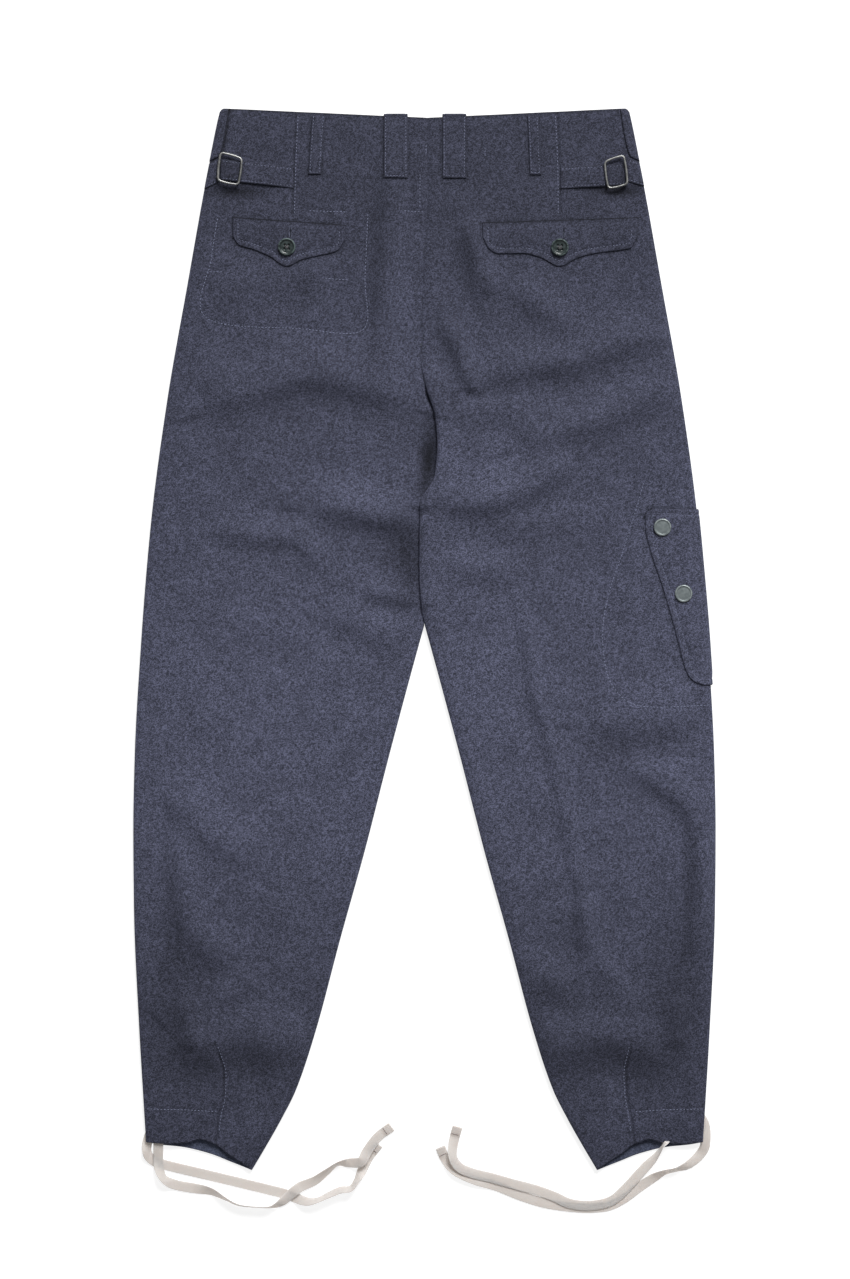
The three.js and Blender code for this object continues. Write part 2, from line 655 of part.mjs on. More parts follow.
function addCinches() {
  for (const { hand, side, strap, tab, corners } of CINCHES) {
    const strapPlace = (a, b) => [
      mix(strap.x1, strap.x2, b), mix(strap.down1, strap.down2, b) + (a - 0.5) * strap.width,
    ];
    const tabPlace = (a, b) => {
      const down = mix(tab.down1, tab.down2, b) + (a - 0.5) * tab.width;
      const reach = 1 - (1 - b) ** 2;
      return [mix(tab.x1, side * (sideHalf(down) - 0.2), reach), down];
    };
    const thick = STRAP_THICK;
    add(`cinch_strap_${hand}`, laid({ side, columns: 3, rows: 6, place: strapPlace, thick }), LOOP);
    add(`cinch_tab_${hand}`, laid({ side, columns: 4, rows: 6, place: tabPlace, thick }), LOOP);
    const heights = corners.map(([x, down]) => heightOn(side, x, yAt(down)));
    const rest = Math.max(...heights) + LAY + STRAP_THICK + GAP + WIRE / 2;
    add(`buckle_${hand}`, buckle(corners, rest), STEEL);
  }
}

// A four-hole button: a dish with a raised rim, cut through by its holes.
function buttonGeometry() {
  const [radius, thick, rim, hole, spread] = [BUTTON_DIAMETER / 2, 3, 1.8, 0.9, 1.9];
  const profile = [
    [0, 0], [radius - 1, 0], [radius, 1], [radius, thick - 0.7], [radius - 0.7, thick],
    [radius - rim, thick], [radius - rim - 1.2, thick - 1], [0, thick - 1],
  ];
  const dish = new THREE.LatheGeometry(profile.map(([r, z]) => new THREE.Vector2(r, z)), 28);
  let solid = manifold(dish.rotateX(Math.PI / 2));
  for (const [x, y] of [[1, 1], [1, -1], [-1, 1], [-1, -1]]) {
    const drill = new THREE.CylinderGeometry(hole, hole, 3 * thick, 10).rotateX(Math.PI / 2);
    solid = solid.subtract(manifold(drill.translate(x * spread, y * spread, 0)));
  }
  return fromManifold(solid);
}

// The geometry of a solid.
function fromManifold(solid) {
  const { numVert, numProp, vertProperties, triVerts } = solid.getMesh();
  const points = counted(numVert, (i) => [...vertProperties.slice(i * numProp, i * numProp + 3)]);
  return body(points, [...triVerts]);
}

// A solid from a closed geometry: its points are merged by place first.
function manifold(geometry) {
  const places = new Map();
  const position = geometry.attributes.position;
  const kept = [];
  const merged = counted(position.count, (i) => {
    const exact = [position.getX(i), position.getY(i), position.getZ(i)];
    const point = exact.map((value) => Math.round(value * 1e5) / 1e5 + 0);
    const key = point.join();
    if (!places.has(key)) {
      places.set(key, kept.length);
      kept.push(point);
    }
    return places.get(key);
  });
  const corners = [...geometry.index.array].map((i) => merged[i]);
  const triangles = [];
  for (let i = 0; i < corners.length; i += 3) {
    const [a, b, c] = corners.slice(i, i + 3);
    if (a !== b && b !== c && c !== a) triangles.push(a, b, c);
  }
  const turned = body(kept, triangles);
  return new wasm.Manifold(new wasm.Mesh({
    numProp: 3,
    vertProperties: turned.attributes.position.array,
    triVerts: Uint32Array.from(turned.index.array),
  }));
}

function addPocketFlaps() {
  for (const { name, side, left, right, topLeft, topRight, edge, buttonX, buttonDown } of FLAPS) {
    const dropAt = curve(edge, 'across', 'drop');
    const place = (a, b) => [mix(left, right, a), mix(topLeft, topRight, a) + b * dropAt(a)];
    add(name, laid({ side, columns: 22, rows: 4, place, thick: FLAP_THICK }), WOOL);
    const button = add(name.replace('flap', 'button'), buttonGeometry(), BUTTON);
    const rest = highestUnder(side, buttonX, buttonDown, BUTTON_DIAMETER / 2) + LAY + FLAP_THICK + GAP;
    button.position.set(buttonX, yAt(buttonDown), rest);
  }
}

// The highest point of a back panel under a round piece.
function highestUnder(side, x, down, radius) {
  const heights = [-1, 0, 1].flatMap((i) => (
    [-1, 0, 1].map((j) => heightOn(side, x + i * radius, yAt(down + j * radius)))
  ));
  return Math.max(...heights);
}

// The thigh pocket's flap lies on the right leg and wraps down round its side edge.
function addThighFlap() {
  const edgeX = curve(THIGH_FLAP.edge, 'along', 'x');
  const place = (a, b) => {
    const down = mix(THIGH_FLAP.top, THIGH_FLAP.bottom, a);
    return [mix(edgeX(a), sideHalf(down), b), down];
  };
  const lip = { towards: [1, 0], until: 0.6 };
  add('thigh_flap', laid({ side: 1, columns: 18, rows: 5, place, thick: THIN_FLAP, lip }), WOOL);
  const radius = SNAP_DIAMETER / 2;
  const profile = [
    [0, 0], [radius - 0.6, 0], [radius, 0.6], [radius - 0.3, 1.6], [radius - 1.4, 2.1],
    [radius - 2.6, 1.7], [0, 2],
  ];
  for (const { name, x, down } of SNAPS) {
    const cap = new THREE.LatheGeometry(profile.map(([r, z]) => new THREE.Vector2(r, z)), 24);
    const snap = add(name, fromManifold(manifold(cap.rotateX(Math.PI / 2))), SNAP);
    const rest = highestUnder(1, x, down, radius) + LAY + THIN_FLAP + GAP;
    snap.position.set(x, yAt(down), rest);
  }
}

// An ankle tape: a flat woven tape whose width leans up out of level as its route says.
function tapeGeometry(route) {
  const [half, thick] = [TAPE_WIDTH / 2, TAPE_THICK / 2];
  const stations = route.map(({ x, down, lean, over }, i) => {
    const [before, after] = [route[Math.max(0, i - 1)], route[Math.min(route.length - 1, i + 1)]];
    const along = new THREE.Vector2(after.x - before.x, before.down - after.down).normalize();
    const tilt = lean * Math.PI / 180;
    const height = over + half * Math.abs(Math.sin(tilt)) + thick * Math.cos(tilt) + 0.1;
    const wide = [-along.y * Math.cos(tilt), along.x * Math.cos(tilt), Math.sin(tilt)];
    const up = [along.y * Math.sin(tilt), -along.x * Math.sin(tilt), Math.cos(tilt)];
    return { centre: [x, yAt(down), height], wide, up };
  });
  const face = (lift) => stations.map(({ centre, wide, up }) => [-half, 0, half].map((across) => (
    [0, 1, 2].map((k) => centre[k] + wide[k] * across + up[k] * lift)
  )));
  return slab(face(thick), face(-thick));
}

addPanels();
addWraps();
addBeltLoops();
addCinches();
addPocketFlaps();
addThighFlap();
for (const { name, route } of TAPES) add(name, tapeGeometry(route), TAPE);

export default trousers;
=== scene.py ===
"""Military trousers in heavy blue-grey wool, laid flat on their front, with white ankle tapes.

Sizes are in millimetres until a mesh is made. x runs across, "down" is the distance below the
waist's corners, "half" a distance out from the middle line, and heights are above the floor.
"""
import math
import bpy
import numpy as np
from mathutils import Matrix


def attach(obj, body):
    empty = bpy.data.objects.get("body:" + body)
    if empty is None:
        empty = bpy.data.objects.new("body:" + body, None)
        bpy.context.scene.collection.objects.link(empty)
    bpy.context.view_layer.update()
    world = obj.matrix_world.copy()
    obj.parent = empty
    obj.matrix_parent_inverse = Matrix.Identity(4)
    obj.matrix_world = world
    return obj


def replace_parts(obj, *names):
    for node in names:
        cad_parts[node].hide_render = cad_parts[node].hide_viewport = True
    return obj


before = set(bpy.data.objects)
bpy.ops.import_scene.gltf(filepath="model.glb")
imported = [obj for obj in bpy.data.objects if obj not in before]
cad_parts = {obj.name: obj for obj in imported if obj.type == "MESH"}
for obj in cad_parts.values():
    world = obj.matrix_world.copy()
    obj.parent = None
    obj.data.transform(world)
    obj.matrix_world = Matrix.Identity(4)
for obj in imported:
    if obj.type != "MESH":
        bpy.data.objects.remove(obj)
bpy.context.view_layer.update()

MM = 0.001
HAND = {-1: "left", 1: "right"}
LENGTH = 1063  # waist corners to the lowest point of the hems
CLOTH = 2.2  # thickness of the wool
GAP = 0.3  # clearance between cloths laid over each other
BUTT = 0.04  # clearance between cloths that meet edge to edge
FRONT_TOP = CLOTH
RIM_TOP = FRONT_TOP + GAP + CLOTH
BACK_TOP = 7  # outer face of the back panels between folds
SIDE_ROLL = 16  # how far in from an edge the back starts to roll down to the front
WAIST_DIP = 9.5  # sag of the waist edge in the middle
WAIST_PRESS = 0.8  # how much flatter the waist edge is pressed
CROTCH_DOWN = 517
FLY_WIDTH = 45
FLY_STRAIGHT = 190  # length of the fly's edge before it curves to the middle
LAP = 8  # how far the left back reaches under the right one at the seat
LAP_RAISE = 3  # how much higher the right back lies over the lap
LAPPED = (290, 306, 478)  # down where the lap starts, is full and ends
CUFF_OPEN = 1.2  # how much higher the back's hem stands off the front's
STRAP_THICK = 2
LOOP_THICK = 1.25
FLAP_THICK = 1.2
THIN_FLAP = 1.2  # thigh flap and side wraps
LAY = 0.15  # height of a piece above the panel that it lies on
EDGE_SOFT = 2.6  # twice the radius of the rounded edges of cloth laid on the backs
# How far in from the edge a flap, a loop, a strap and the thigh flap are stitched.
FLAP_SEAM, LOOP_SEAM, STRAP_SEAM, THIGH_SEAM = 5.6, 1.8, 2.2, 6.4
TAPE_WIDTH = 10
TAPE_THICK = 0.7
TAPE_STEP = 1.6  # from one section of a tape to the next
TAPE_HEM = 8  # from a tape's end to the stitches that hold its fold
WIRE = 2.2  # thickness of a buckle's wire
BUTTON_DIAMETER = 17.6
SNAP_DIAMETER = 17.5
KEY_PLACE = np.array([1.7, 5.1, 3.8])  # of the main light, in metres

# Half width at the side edge, and of the gap between the legs: down, half.
SIDE = [
    (0, 203.5), (22, 208.5), (82, 220.5), (172, 236.5), (292, 257.5), (412, 273.5), (532, 283.5),
    (652, 290.2), (722, 291.5), (802, 290.8), (922, 285.5), (1040, 278.3),
]
INSEAM = [
    (CROTCH_DOWN, 0.15), (562, 12.5), (652, 36.5), (742, 59.5), (832, 84.5), (922, 108.5),
    (982, 128.5), (1012, 143.5), (1042, 160.5), (1063, 173),
]
# Where the right back's inner edge lies, the seat seam and then the fold over the left leg: down, x.
SEAT_EDGE = [
    (0, 3), (100, 3.4), (150, -1), (250, -3.5), (282, 2), (307, 10), (335, 12.5), (367, 10),
    (398, -5), (460, -5.5), (500, -3.5), (CROTCH_DOWN, 0.15),
]
# Hems, from the inseam, across 0, to the side edge, across 1: across, down.
FRONT_HEM = [(0, 1063), (0.25, 1054), (0.46, 1046), (0.71, 1039.5), (0.88, 1037.5), (1, 1035)]
BACK_HEM = [
    (0, 1062.5), (0.17, 1053), (0.29, 1046.5), (0.4, 1038.7), (0.48, 1034.5), (0.575, 1031.6),
    (0.65, 1034.5), (0.82, 1036), (1, 1034.5),
]
# The line that the waist dart and the ankle dart of a back panel lie on: down, half.
DART_LINE = {
    -1: [(0, 128.3), (56, 130.9), (110, 132.5), (500, 162), (720, 188), (905, 213), (934, 209.5),
         (966, 200.8), (987, 201.5), (1011, 206.5), (1030, 208.5)],
    1: [(0, 133), (80, 135.8), (110, 135.8), (500, 162), (720, 188), (905, 209), (936, 206.9),
        (966, 201.8), (987, 202.8), (1011, 206.9), (1030, 210)],
}
WAIST_DART_END = 112
ANKLE_DART_START = 930

# Folds of the back. Each is given by the line along which the cloth falls away to the lower left: the
# fold's height, its width before the line's crest and the width of the fall, and the line's points
# as x and down, going right or down.
FOLDS = [
    # left leg
    (4.5, 16, 10, [(-37, 36), (-44, 120), (-49, 180), (-54, 246)]),
    (1.3, 6, 6, [(-10, 40), (-9, 104)]),
    (2.6, 18, 15, [(-208, 206), (-150, 184), (-96, 178)]),
    (7.4, 34, 18, [(-218, 306), (-161, 291), (-112, 279), (-56, 291), (-16, 301)]),
    (7.7, 24, 16, [(-112, 406), (-68, 414), (-40, 421), (-20, 416), (-7, 408)]),
    (4.5, 12, 10, [(-64, 486), (-30, 496), (-5, 498)]),
    (3.6, 16, 11, [(-214, 429), (-161, 436), (-132, 438), (-103, 468)]),
    (3.7, 20, 17, [(-104, 512), (-60, 530), (-28, 548)]),
    (1.8, 20, 20, [(-190, 520), (-150, 532), (-112, 560)]),
    (3.8, 26, 13, [(-268, 684), (-224, 730), (-176, 763)]),
    (5.2, 20, 15, [(-257, 714), (-252, 780), (-237, 834), (-194, 866)]),
    (2.9, 14, 11, [(-202, 902), (-184, 890), (-166, 877)]),
    (7.2, 28, 23, [(-250, 930), (-226, 952), (-206, 948), (-186, 940), (-156, 950), (-114, 944)]),
    (4.2, 12, 10, [(-247, 890), (-240, 944)]),
    (1.7, 8, 7, [(-182, 972), (-184, 1000), (-178, 1030)]),
    # right leg
    (6.0, 16, 12, [(33, 114), (44, 150), (54, 192)]),
    (4.0, 18, 16, [(78, 185), (112, 208), (148, 233)]),
    (5.8, 12, 10, [(15, 212), (28, 246), (38, 272), (49, 292)]),
    (3.0, 9, 20, [(13, 284), (34, 313), (70, 315), (110, 310)]),
    (6.3, 22, 16, [(60, 279), (118, 267), (156, 262), (187, 250), (248, 232)]),
    (6.3, 22, 16, [(96, 343), (143, 332), (193, 318), (254, 282)]),
    (7.4, 22, 15, [(8, 402), (44, 406), (81, 400), (119, 384), (153, 355)]),
    (2.4, 14, 15, [(60, 430), (110, 426), (172, 420)]),
    (3.2, 14, 15, [(24, 468), (54, 472), (86, 474)]),
    (2.9, 9, 7, [(81, 478), (98, 530), (106, 590), (118, 624), (134, 699), (144, 748), (153, 792),
                 (156, 838)]),
    (2.9, 10, 12, [(150, 786), (156, 844)]),
    (1.6, 12, 12, [(190, 470), (200, 520), (204, 570)]),
    (5.2, 34, 20, [(158, 622), (193, 627), (224, 630), (278, 610)]),
    (5.2, 22, 11, [(194, 660), (237, 686), (259, 706), (268, 738), (268, 792), (258, 852)]),
    (4.5, 18, 16, [(104, 870), (126, 888), (148, 889)]),
    (3.2, 12, 15, [(160, 850), (186, 884), (212, 912)]),
    (7.2, 28, 23, [(118, 956), (150, 950), (180, 940), (206, 948), (226, 952), (248, 928)]),
    (4.2, 12, 10, [(247, 886), (241, 940)]),
    (1.7, 8, 7, [(176, 970), (180, 1000), (176, 1030)]),
]
# Hollows where the cloth sinks out of the light: side, depth, share of light lost, x, down, and how
# far it spreads across and along.
HOLLOWS = [
    (-1, 2.2, 0.76, 4, 352, 9, 27), (-1, 1.0, 0.25, 9, 318, 6, 22),
    (-1, 2.2, 0.56, -17, 448, 22, 30), (-1, 1.2, 0.3, -12, 488, 14, 18),
    (-1, 0.6, 0.36, -1, 380, 9, 12), (1, 0.4, 0.16, 196, 642, 38, 18),
    (-1, 0.8, 0.24, -250, 890, 30, 75), (1, 0.8, 0.26, 250, 885, 28, 70),
    (-1, 1.0, 0.44, -188, 84, 26, 6), (1, 1.0, 0.46, 194, 83, 24, 6),
    (-1, 0.0, 0.16, -190, 957, 60, 22), (1, 0.0, 0.18, 194, 955, 60, 22),
    (1, 0, 0.16, 128, 880, 22, 22), (-1, 0.0, 0.13, -47, 165, 12, 80),
    (-1, 0.0, -0.16, -22, 180, 15, 80), (1, 0.0, 0.14, 46, 156, 8, 30),
    (1, 0.0, 0.14, 32, 250, 8, 28), (-1, 0.3, 0.16, -251, 800, 8, 60),
    (1, 0.4, 0.28, 266, 770, 10, 62), (1, 0.3, 0.18, 153, 815, 8, 30),
    (-1, 0.0, -0.1, -150, 600, 90, 110), (1, 0.0, -0.1, 60, 560, 50, 110),
    (1, 0.0, -0.15, 64, 350, 52, 36), (-1, 0.0, -0.12, -74, 386, 40, 16),
    (1, 0.0, -0.08, 22, 345, 14, 40), (1, 0.0, 0.11, 160, 897, 34, 9),
    (1, 0.0, 0.06, 190, 602, 75, 62), (-1, 0.0, -0.13, -187, 1024, 22, 20),
    (1, 0.0, -0.12, 193, 1016, 22, 20),
]

# Painted light falloff: how much lighter the cloth's colour is painted, or below zero darker, from the
# waist to the hem. It stands in for light that is brightest on the thighs and falls off towards the
# waist and the hems: down, share.
PAINTED_FALLOFF = [
    (0, -0.41), (80, -0.4), (180, -0.28), (390, -0.09), (590, 0.05), (720, 0.05), (820, -0.1),
    (940, -0.25), (1063, -0.29),
]

# Pocket flaps: name, side, left, right, down of the top's two ends, button x and down, and the
# lower edge as across and drop.
FLAPS = [
    ("pocket_flap_left", -1, -192, -79, 109, 117, -137.7, 139.2,
     [(0, 20), (0.06, 28), (0.19, 31.5), (0.33, 37.2), (0.475, 46), (0.62, 38), (0.76, 33),
      (0.93, 26.5), (1, 15)]),
    ("pocket_flap_right", 1, 57.8, 213.3, 114.6, 109.4, 135.3, 139.6,
     [(0, 15), (0.04, 27), (0.1, 32), (0.26, 32.4), (0.37, 37), (0.5, 46.5), (0.62, 38.5),
      (0.74, 34.6), (0.95, 31), (1, 19)]),
]

# Belt loops: name, x at the top and at the bottom, down of the bottom, width, and whether it is a
# wide one that folds over the waist edge.
LOOP_TOP = 8
LOOPS = [
    ("belt_loop_narrow_left", -106, -110, 66.5, 13, False),
    ("belt_loop_wide_left", -28.8, -28.8, 70.3, 24, True),
    ("belt_loop_wide_right", 29.8, 29.8, 70.3, 24, True),
    ("belt_loop_narrow_right", 108.5, 111, 67, 11.5, False),
]

# Cinches: hand, side, the strap's ends and width, the tab's start, its down at both ends and its
# width, and the buckle's corners.
CINCHES = [
    ("left", -1, (-131.5, 69.6, -204.2, 61.6, 21.5), (-204.8, 61.7, 68.2, 25),
     [(-203.8, 44.6), (-182.2, 50.8), (-185.9, 77.4), (-206.7, 72.8)]),
    ("right", 1, (136, 70, 200.2, 66.6, 22), (200.8, 61, 66.2, 24),
     [(179.8, 54.1), (199.2, 47.5), (203, 76.5), (183.5, 81.1)]),
]
# Inner edge of the strip of front cloth that wraps over the side at the waist: down, half.
WRAP_LINE = [(1.5, 195.5), (22, 198.6), (44, 203.5), (50, 207), (54, 213)]
WRAP_DOWN = 49

# Slanted free edge of the thigh pocket's flap, from its top corner down: along, x.
THIGH_TOP, THIGH_BOTTOM = 401, 577
THIGH_EDGE = [
    (0, 229), (0.008, 225), (0.02, 222.4), (0.04, 221), (0.1, 220.8), (0.24, 226), (0.43, 237),
    (0.62, 247), (0.79, 255), (0.87, 258.5), (0.93, 262), (0.965, 266), (0.988, 271.5), (1, 279),
]
SNAPS = [("thigh_snap_upper", 237.9, 419.4), ("thigh_snap_lower", 259, 485.6)]

# Ankle tapes, from the leg to the free end: x, down, lean of the width in degrees, and the height
# of what the tape lies on.
TAPES = {
    "ankle_tape_left_outer": [
        (-264, 1017, 0, 2.5), (-273, 1024, 0, 2.5), (-277.3, 1034, 0, 2.3), (-278, 1044, -25, 0.3),
        (-273.5, 1052, -8, 0), (-261, 1057.5, 0, 0), (-215, 1068.5, 0, 0), (-165, 1080.5, 0, 0),
        (-141, 1086.5, 0, 0), (-130, 1090.5, 0, 0), (-118, 1094, -40, 0), (-107, 1092.5, -66, 0),
        (-97, 1088, -62, 0), (-84, 1082.5, -55, 0), (-74, 1081, -60, 0), (-67.5, 1072.5, -55, 0),
        (-62, 1062, -15, 0), (-56, 1050, 0, 0), (-46, 1037, 0, 0),
    ],
    "ankle_tape_left_inner": [
        (-266.3, 1028, 0, 3.9), (-266.4, 1039, 0, 3.2), (-266.5, 1050, 0, 1.7), (-266, 1060, -15, 1.1),
        (-261, 1071, -45, 0.4), (-250, 1077.5, -5, 0), (-232, 1081, 0, 0), (-214, 1084, 35, 0),
        (-199, 1091.5, 65, 0), (-186, 1097.5, 72, 0), (-168, 1099.5, 76, 0), (-154, 1099.5, 70, 0),
        (-143.5, 1095, 35, 1.2), (-133.5, 1086.5, 0, 2), (-124, 1079.5, 0, 1.6), (-110, 1073.5, 20, 0),
        (-98, 1064.5, 45, 0), (-87, 1056.5, 60, 0), (-75, 1055.5, 15, 1), (-63.5, 1054, 0, 5.5),
        (-57.5, 1044, 0, 3.5), (-47, 1030, 10, 1.2), (-33, 1019.5, 0, 0),
    ],
    "ankle_tape_right_outer": [
        (270, 1005, 0, 2.5), (278, 1012, 0, 2.5), (281.3, 1022, 0, 2.4), (281, 1037.5, 0, 1.6),
        (277.5, 1045.5, 0, 0.2), (271.5, 1052, -8, 0), (263, 1058, -28, 0), (252, 1062, -56, 0),
        (240, 1065, -50, 0), (228, 1071.5, -15, 0), (214, 1081, 0, 0), (199, 1092, 0, 0),
        (184, 1099, 0, 0), (166, 1101, 0, 0), (146, 1100, 0, 0), (120, 1096, 0, 0), (96, 1088.6, 0, 0),
        (72, 1079, 0, 0), (50, 1072.5, 15, 0), (31, 1063.5, 20, 0), (21, 1052, 0, 0),
        (15.7, 1040, 0, 0),
    ],
    "ankle_tape_right_inner": [
        (245, 1025, 0, 2.6), (241.5, 1031, 14, 2.4), (240.3, 1034, 48, 2.4), (239, 1037, 76, 2.4),
        (237, 1040, 80, 2), (233.5, 1045.5, 68, 0.6), (228.5, 1052, 46, 0), (222, 1059, 24, 0.2),
        (213, 1069, 5, 0.9), (202, 1081, 0, 1.1), (190, 1092, 0, 1), (177, 1097, 0, 1),
        (160, 1098.5, 0, 1), (144, 1096, 0, 1),
        (130, 1089.5, 0, 1), (112, 1083, 0, 1), (90, 1077.2, 0, 1), (68, 1071, 0, 1), (48, 1066, 8, 1),
        (35, 1060, 20, 1), (28.5, 1050, 30, 0.8), (28.5, 1039, 15, 0), (30.5, 1029, 0, 0),
        (33.2, 1019.5, 0, 0),
    ],
}

# Lines sewn through the back panels: side, and the points as x and down.
SEWN_LINES = [
    (-1, [(-4.5, 66), (-4.6, 102)]),
    (-1, [(1.6, 37), (1.4, 48)]),
    (1, [(60.5, 39), (60.5, 50)]),
    (-1, [(-20.5, 103), (-0.5, 104)]),
    (-1, [(-206.5, 107), (-213, 150), (-218.6, 209.6), (-123.8, 220.8), (-61.7, 221.7), (-59.5, 170),
          (-56.6, 105.3)]),
    (-1, [(-115.5, 102.7), (-79, 104)]),
    (-1, [(-99.5, 170.3), (-75.5, 172.2)]),
    (-1, [(-218.5, 164), (-200.5, 164)]),
    (-1, [(-278, 1001), (-240, 1002), (-206.5, 1004)]),
    (1, [(277.8, 1001), (240, 1002), (208, 1004)]),
    (1, [(219.1, 375), (214.5, 392), (206.5, 418), (199.2, 441), (190.8, 465), (185.5, 482),
         (179.3, 510), (178.5, 540), (183.9, 569.5), (196.1, 588), (208.5, 596), (226.5, 599),
         (257.5, 598.5), (286, 597)]),
]


# Arrays and curves

def smooth(start, end, value):
    """0 before the start, 1 after the end, and a smooth step between: 3 t squared less 2 t cubed."""
    t = np.clip((value - start) / (end - start), 0, 1)
    return t * t * (3 - 2 * t)


def mix(a, b, t):
    """The value a share t of the way from a to b."""
    return a + (b - a) * t


def bell(distance, width):
    """A bell curve, 1 at no distance: e to the power of less the square of distance over width."""
    return np.exp(-(distance / width) ** 2)


def circle(count):
    """Even angles round a full turn."""
    return np.linspace(0, 2 * math.pi, count, endpoint=False)


def unit(vectors):
    """Vectors divided by their lengths."""
    return vectors / np.linalg.norm(vectors, axis=-1, keepdims=True)


def reach_along(points):
    """Length of a line from its start to each of its points."""
    return np.concatenate([[0], np.cumsum(np.linalg.norm(np.diff(points, axis=0), axis=1))])


def roll(distance, radius):
    """Share of the full height on a quarter-round edge: 0 at the edge and 1 from the radius on."""
    return np.sqrt(1 - (1 - np.clip(distance / radius, 0, 1)) ** 2)


def curve(rows):
    """The line through a table's rows that never overshoots them: cubic pieces whose slope at a row is
    the harmonic mean of the slopes on its two sides, and level at a crest."""
    xs, ys = np.array(rows, float).T
    slopes = np.diff(ys) / np.diff(xs)
    before, after = slopes[:-1], slopes[1:]
    rising = before * after > 0
    inner = np.where(rising, 2 * before * after / np.where(rising, before + after, 1), 0)
    tangents = np.concatenate([slopes[:1], inner, slopes[-1:]])

    def at(value):
        """The line's height there: both ends' heights and slopes, weighed by cubics of the share."""
        i = np.clip(np.searchsorted(xs, value, side="right") - 1, 0, len(xs) - 2)
        step = xs[i + 1] - xs[i]
        t = np.clip((value - xs[i]) / step, 0, 1)
        rise = step * (tangents[i] * t * (1 - t) ** 2 - tangents[i + 1] * t * t * (1 - t))
        return mix(ys[i], ys[i + 1], t * t * (3 - 2 * t)) + rise

    return at


def resample(rows, pitch):
    """Rows a pitch apart along the smooth line through given ones, by the length of their first two
    columns: Catmull-Rom pieces, cut again at even lengths."""
    rows = np.array(rows, float)
    padded = np.vstack([2 * rows[0] - rows[1], rows, 2 * rows[-1] - rows[-2]])
    a, b, c, d = (padded[k:len(padded) - 3 + k, None] for k in range(4))
    t = np.linspace(0, 1, 25)[None, :-1, None]
    pieces = 0.5 * (2 * b + (c - a) * t + (2 * a - 5 * b + 4 * c - d) * t ** 2
                    + (3 * b - a - 3 * c + d) * t ** 3)
    dense = np.vstack([pieces.reshape(-1, rows.shape[1]), rows[-1:]])
    reach = reach_along(dense[:, :2])
    count = max(2, int(round(reach[-1] / pitch)) + 1)
    at = np.linspace(0, reach[-1], count)
    return np.column_stack([np.interp(at, reach, column) for column in dense.T])


def spread(count, length, edge):
    """Shares from 0 to 1 in even steps, with smaller ones within a short edge at both ends."""
    ends = edge * np.array([0, 0.1, 0.3, 0.6])
    inner = np.linspace(edge, length - edge, count)
    return np.concatenate([ends, inner, length - ends[::-1]]) / length


side_half = curve(SIDE)
inseam_half = curve(INSEAM)
seat_edge = curve(SEAT_EDGE)
front_hem = curve(FRONT_HEM)
back_hem = curve(BACK_HEM)
wrap_line = curve(WRAP_LINE)
thigh_edge = curve(THIGH_EDGE)
# Painted light falloff from the waist to the hem.
wear_and_painted_falloff = curve(PAINTED_FALLOFF)
dart_half = {side: curve(rows) for side, rows in DART_LINE.items()}


def waist_down(across):
    """The waist edge's sag, which is full in the middle and none at the corners."""
    return WAIST_DIP * (1 - across)


def corner_drop(from_side):
    """How far the waist edge drops within its rounded corners at the sides."""
    return 3 * (1 - roll(from_side, 3))


def waist_edge(across):
    """The waist edge from the middle to the side, with its corners rounded."""
    return waist_down(across) + corner_drop((1 - across) * side_half(0))


def y_at(down):
    """The upward coordinate of the flat view, from its middle."""
    return LENGTH / 2 - down


# Shape of the back panels

def back_inner(side, down):
    """A back panel's inner edge as x: the inseam below the crotch, and above it the seat's edge, where
    the left panel reaches a lap's width under the right one."""
    start, full, until = LAPPED
    lapping = smooth(start, full, down) * (1 - smooth(until, CROTCH_DOWN, down))
    seat = seat_edge(down) if side > 0 else seat_edge(down) - BUTT + LAP * lapping
    return np.where(down >= CROTCH_DOWN, side * inseam_half(down), seat)


def beside(path, x, down):
    """Signed distance from a path, positive on the left hand, and the share of its length there."""
    points = np.array(path, float)
    best, share = np.full(x.shape, np.inf), np.zeros(x.shape)
    steps = np.diff(points, axis=0)
    lengths, starts = np.hypot(*steps.T), reach_along(points)
    for (px, pd), (dx, dd), length, start in zip(points, steps, lengths, starts):
        t = np.clip(((x - px) * dx + (down - pd) * dd) / length ** 2, 0, 1)
        distance = np.hypot(x - px - t * dx, down - pd - t * dd)
        hand = np.where((down - pd) * dx - (x - px) * dd > 0, -1, 1)
        nearer = distance < np.abs(best)
        best = np.where(nearer, hand * distance, best)
        share = np.where(nearer, (start + t * length) / starts[-1], share)
    return best, share


def near(line, margin, x, down):
    """Which points lie within a margin of a line's box."""
    low, high = line.min(axis=0) - margin, line.max(axis=0) + margin
    return (x > low[0]) & (x < high[0]) & (down > low[1]) & (down < high[1])


def fold_height(x, down):
    """Height that the folds add. Each is a bell curve across its line, steepest on the line itself,
    with its own width on each side of the crest, that fades towards the line's ends."""
    total = np.zeros(x.shape)
    for height, broad, fall, path in FOLDS:
        line = resample(path, 14)
        here = near(line, 3 * max(broad, fall), x, down)
        distance, share = beside(line, x[here], down[here])
        from_crest = distance - 0.7 * fall
        width = np.where(from_crest > 0, broad, fall)
        fade = 1 - 0.75 * (2 * share - 1) ** 4
        total[here] += height * fade * bell(from_crest, width)
    return total


def hollows(side, x, down):
    """Depth and lost light of the hollows on a panel, as bells over an oval."""
    depth, lost = np.zeros(x.shape), np.zeros(x.shape)
    for hollow_side, deep, shade, at_x, at_down, across, along in HOLLOWS:
        if hollow_side == side:
            spot = bell(x - at_x, across) * bell(down - at_down, along)
            depth, lost = depth + deep * spot, lost + shade * spot
    return depth, lost


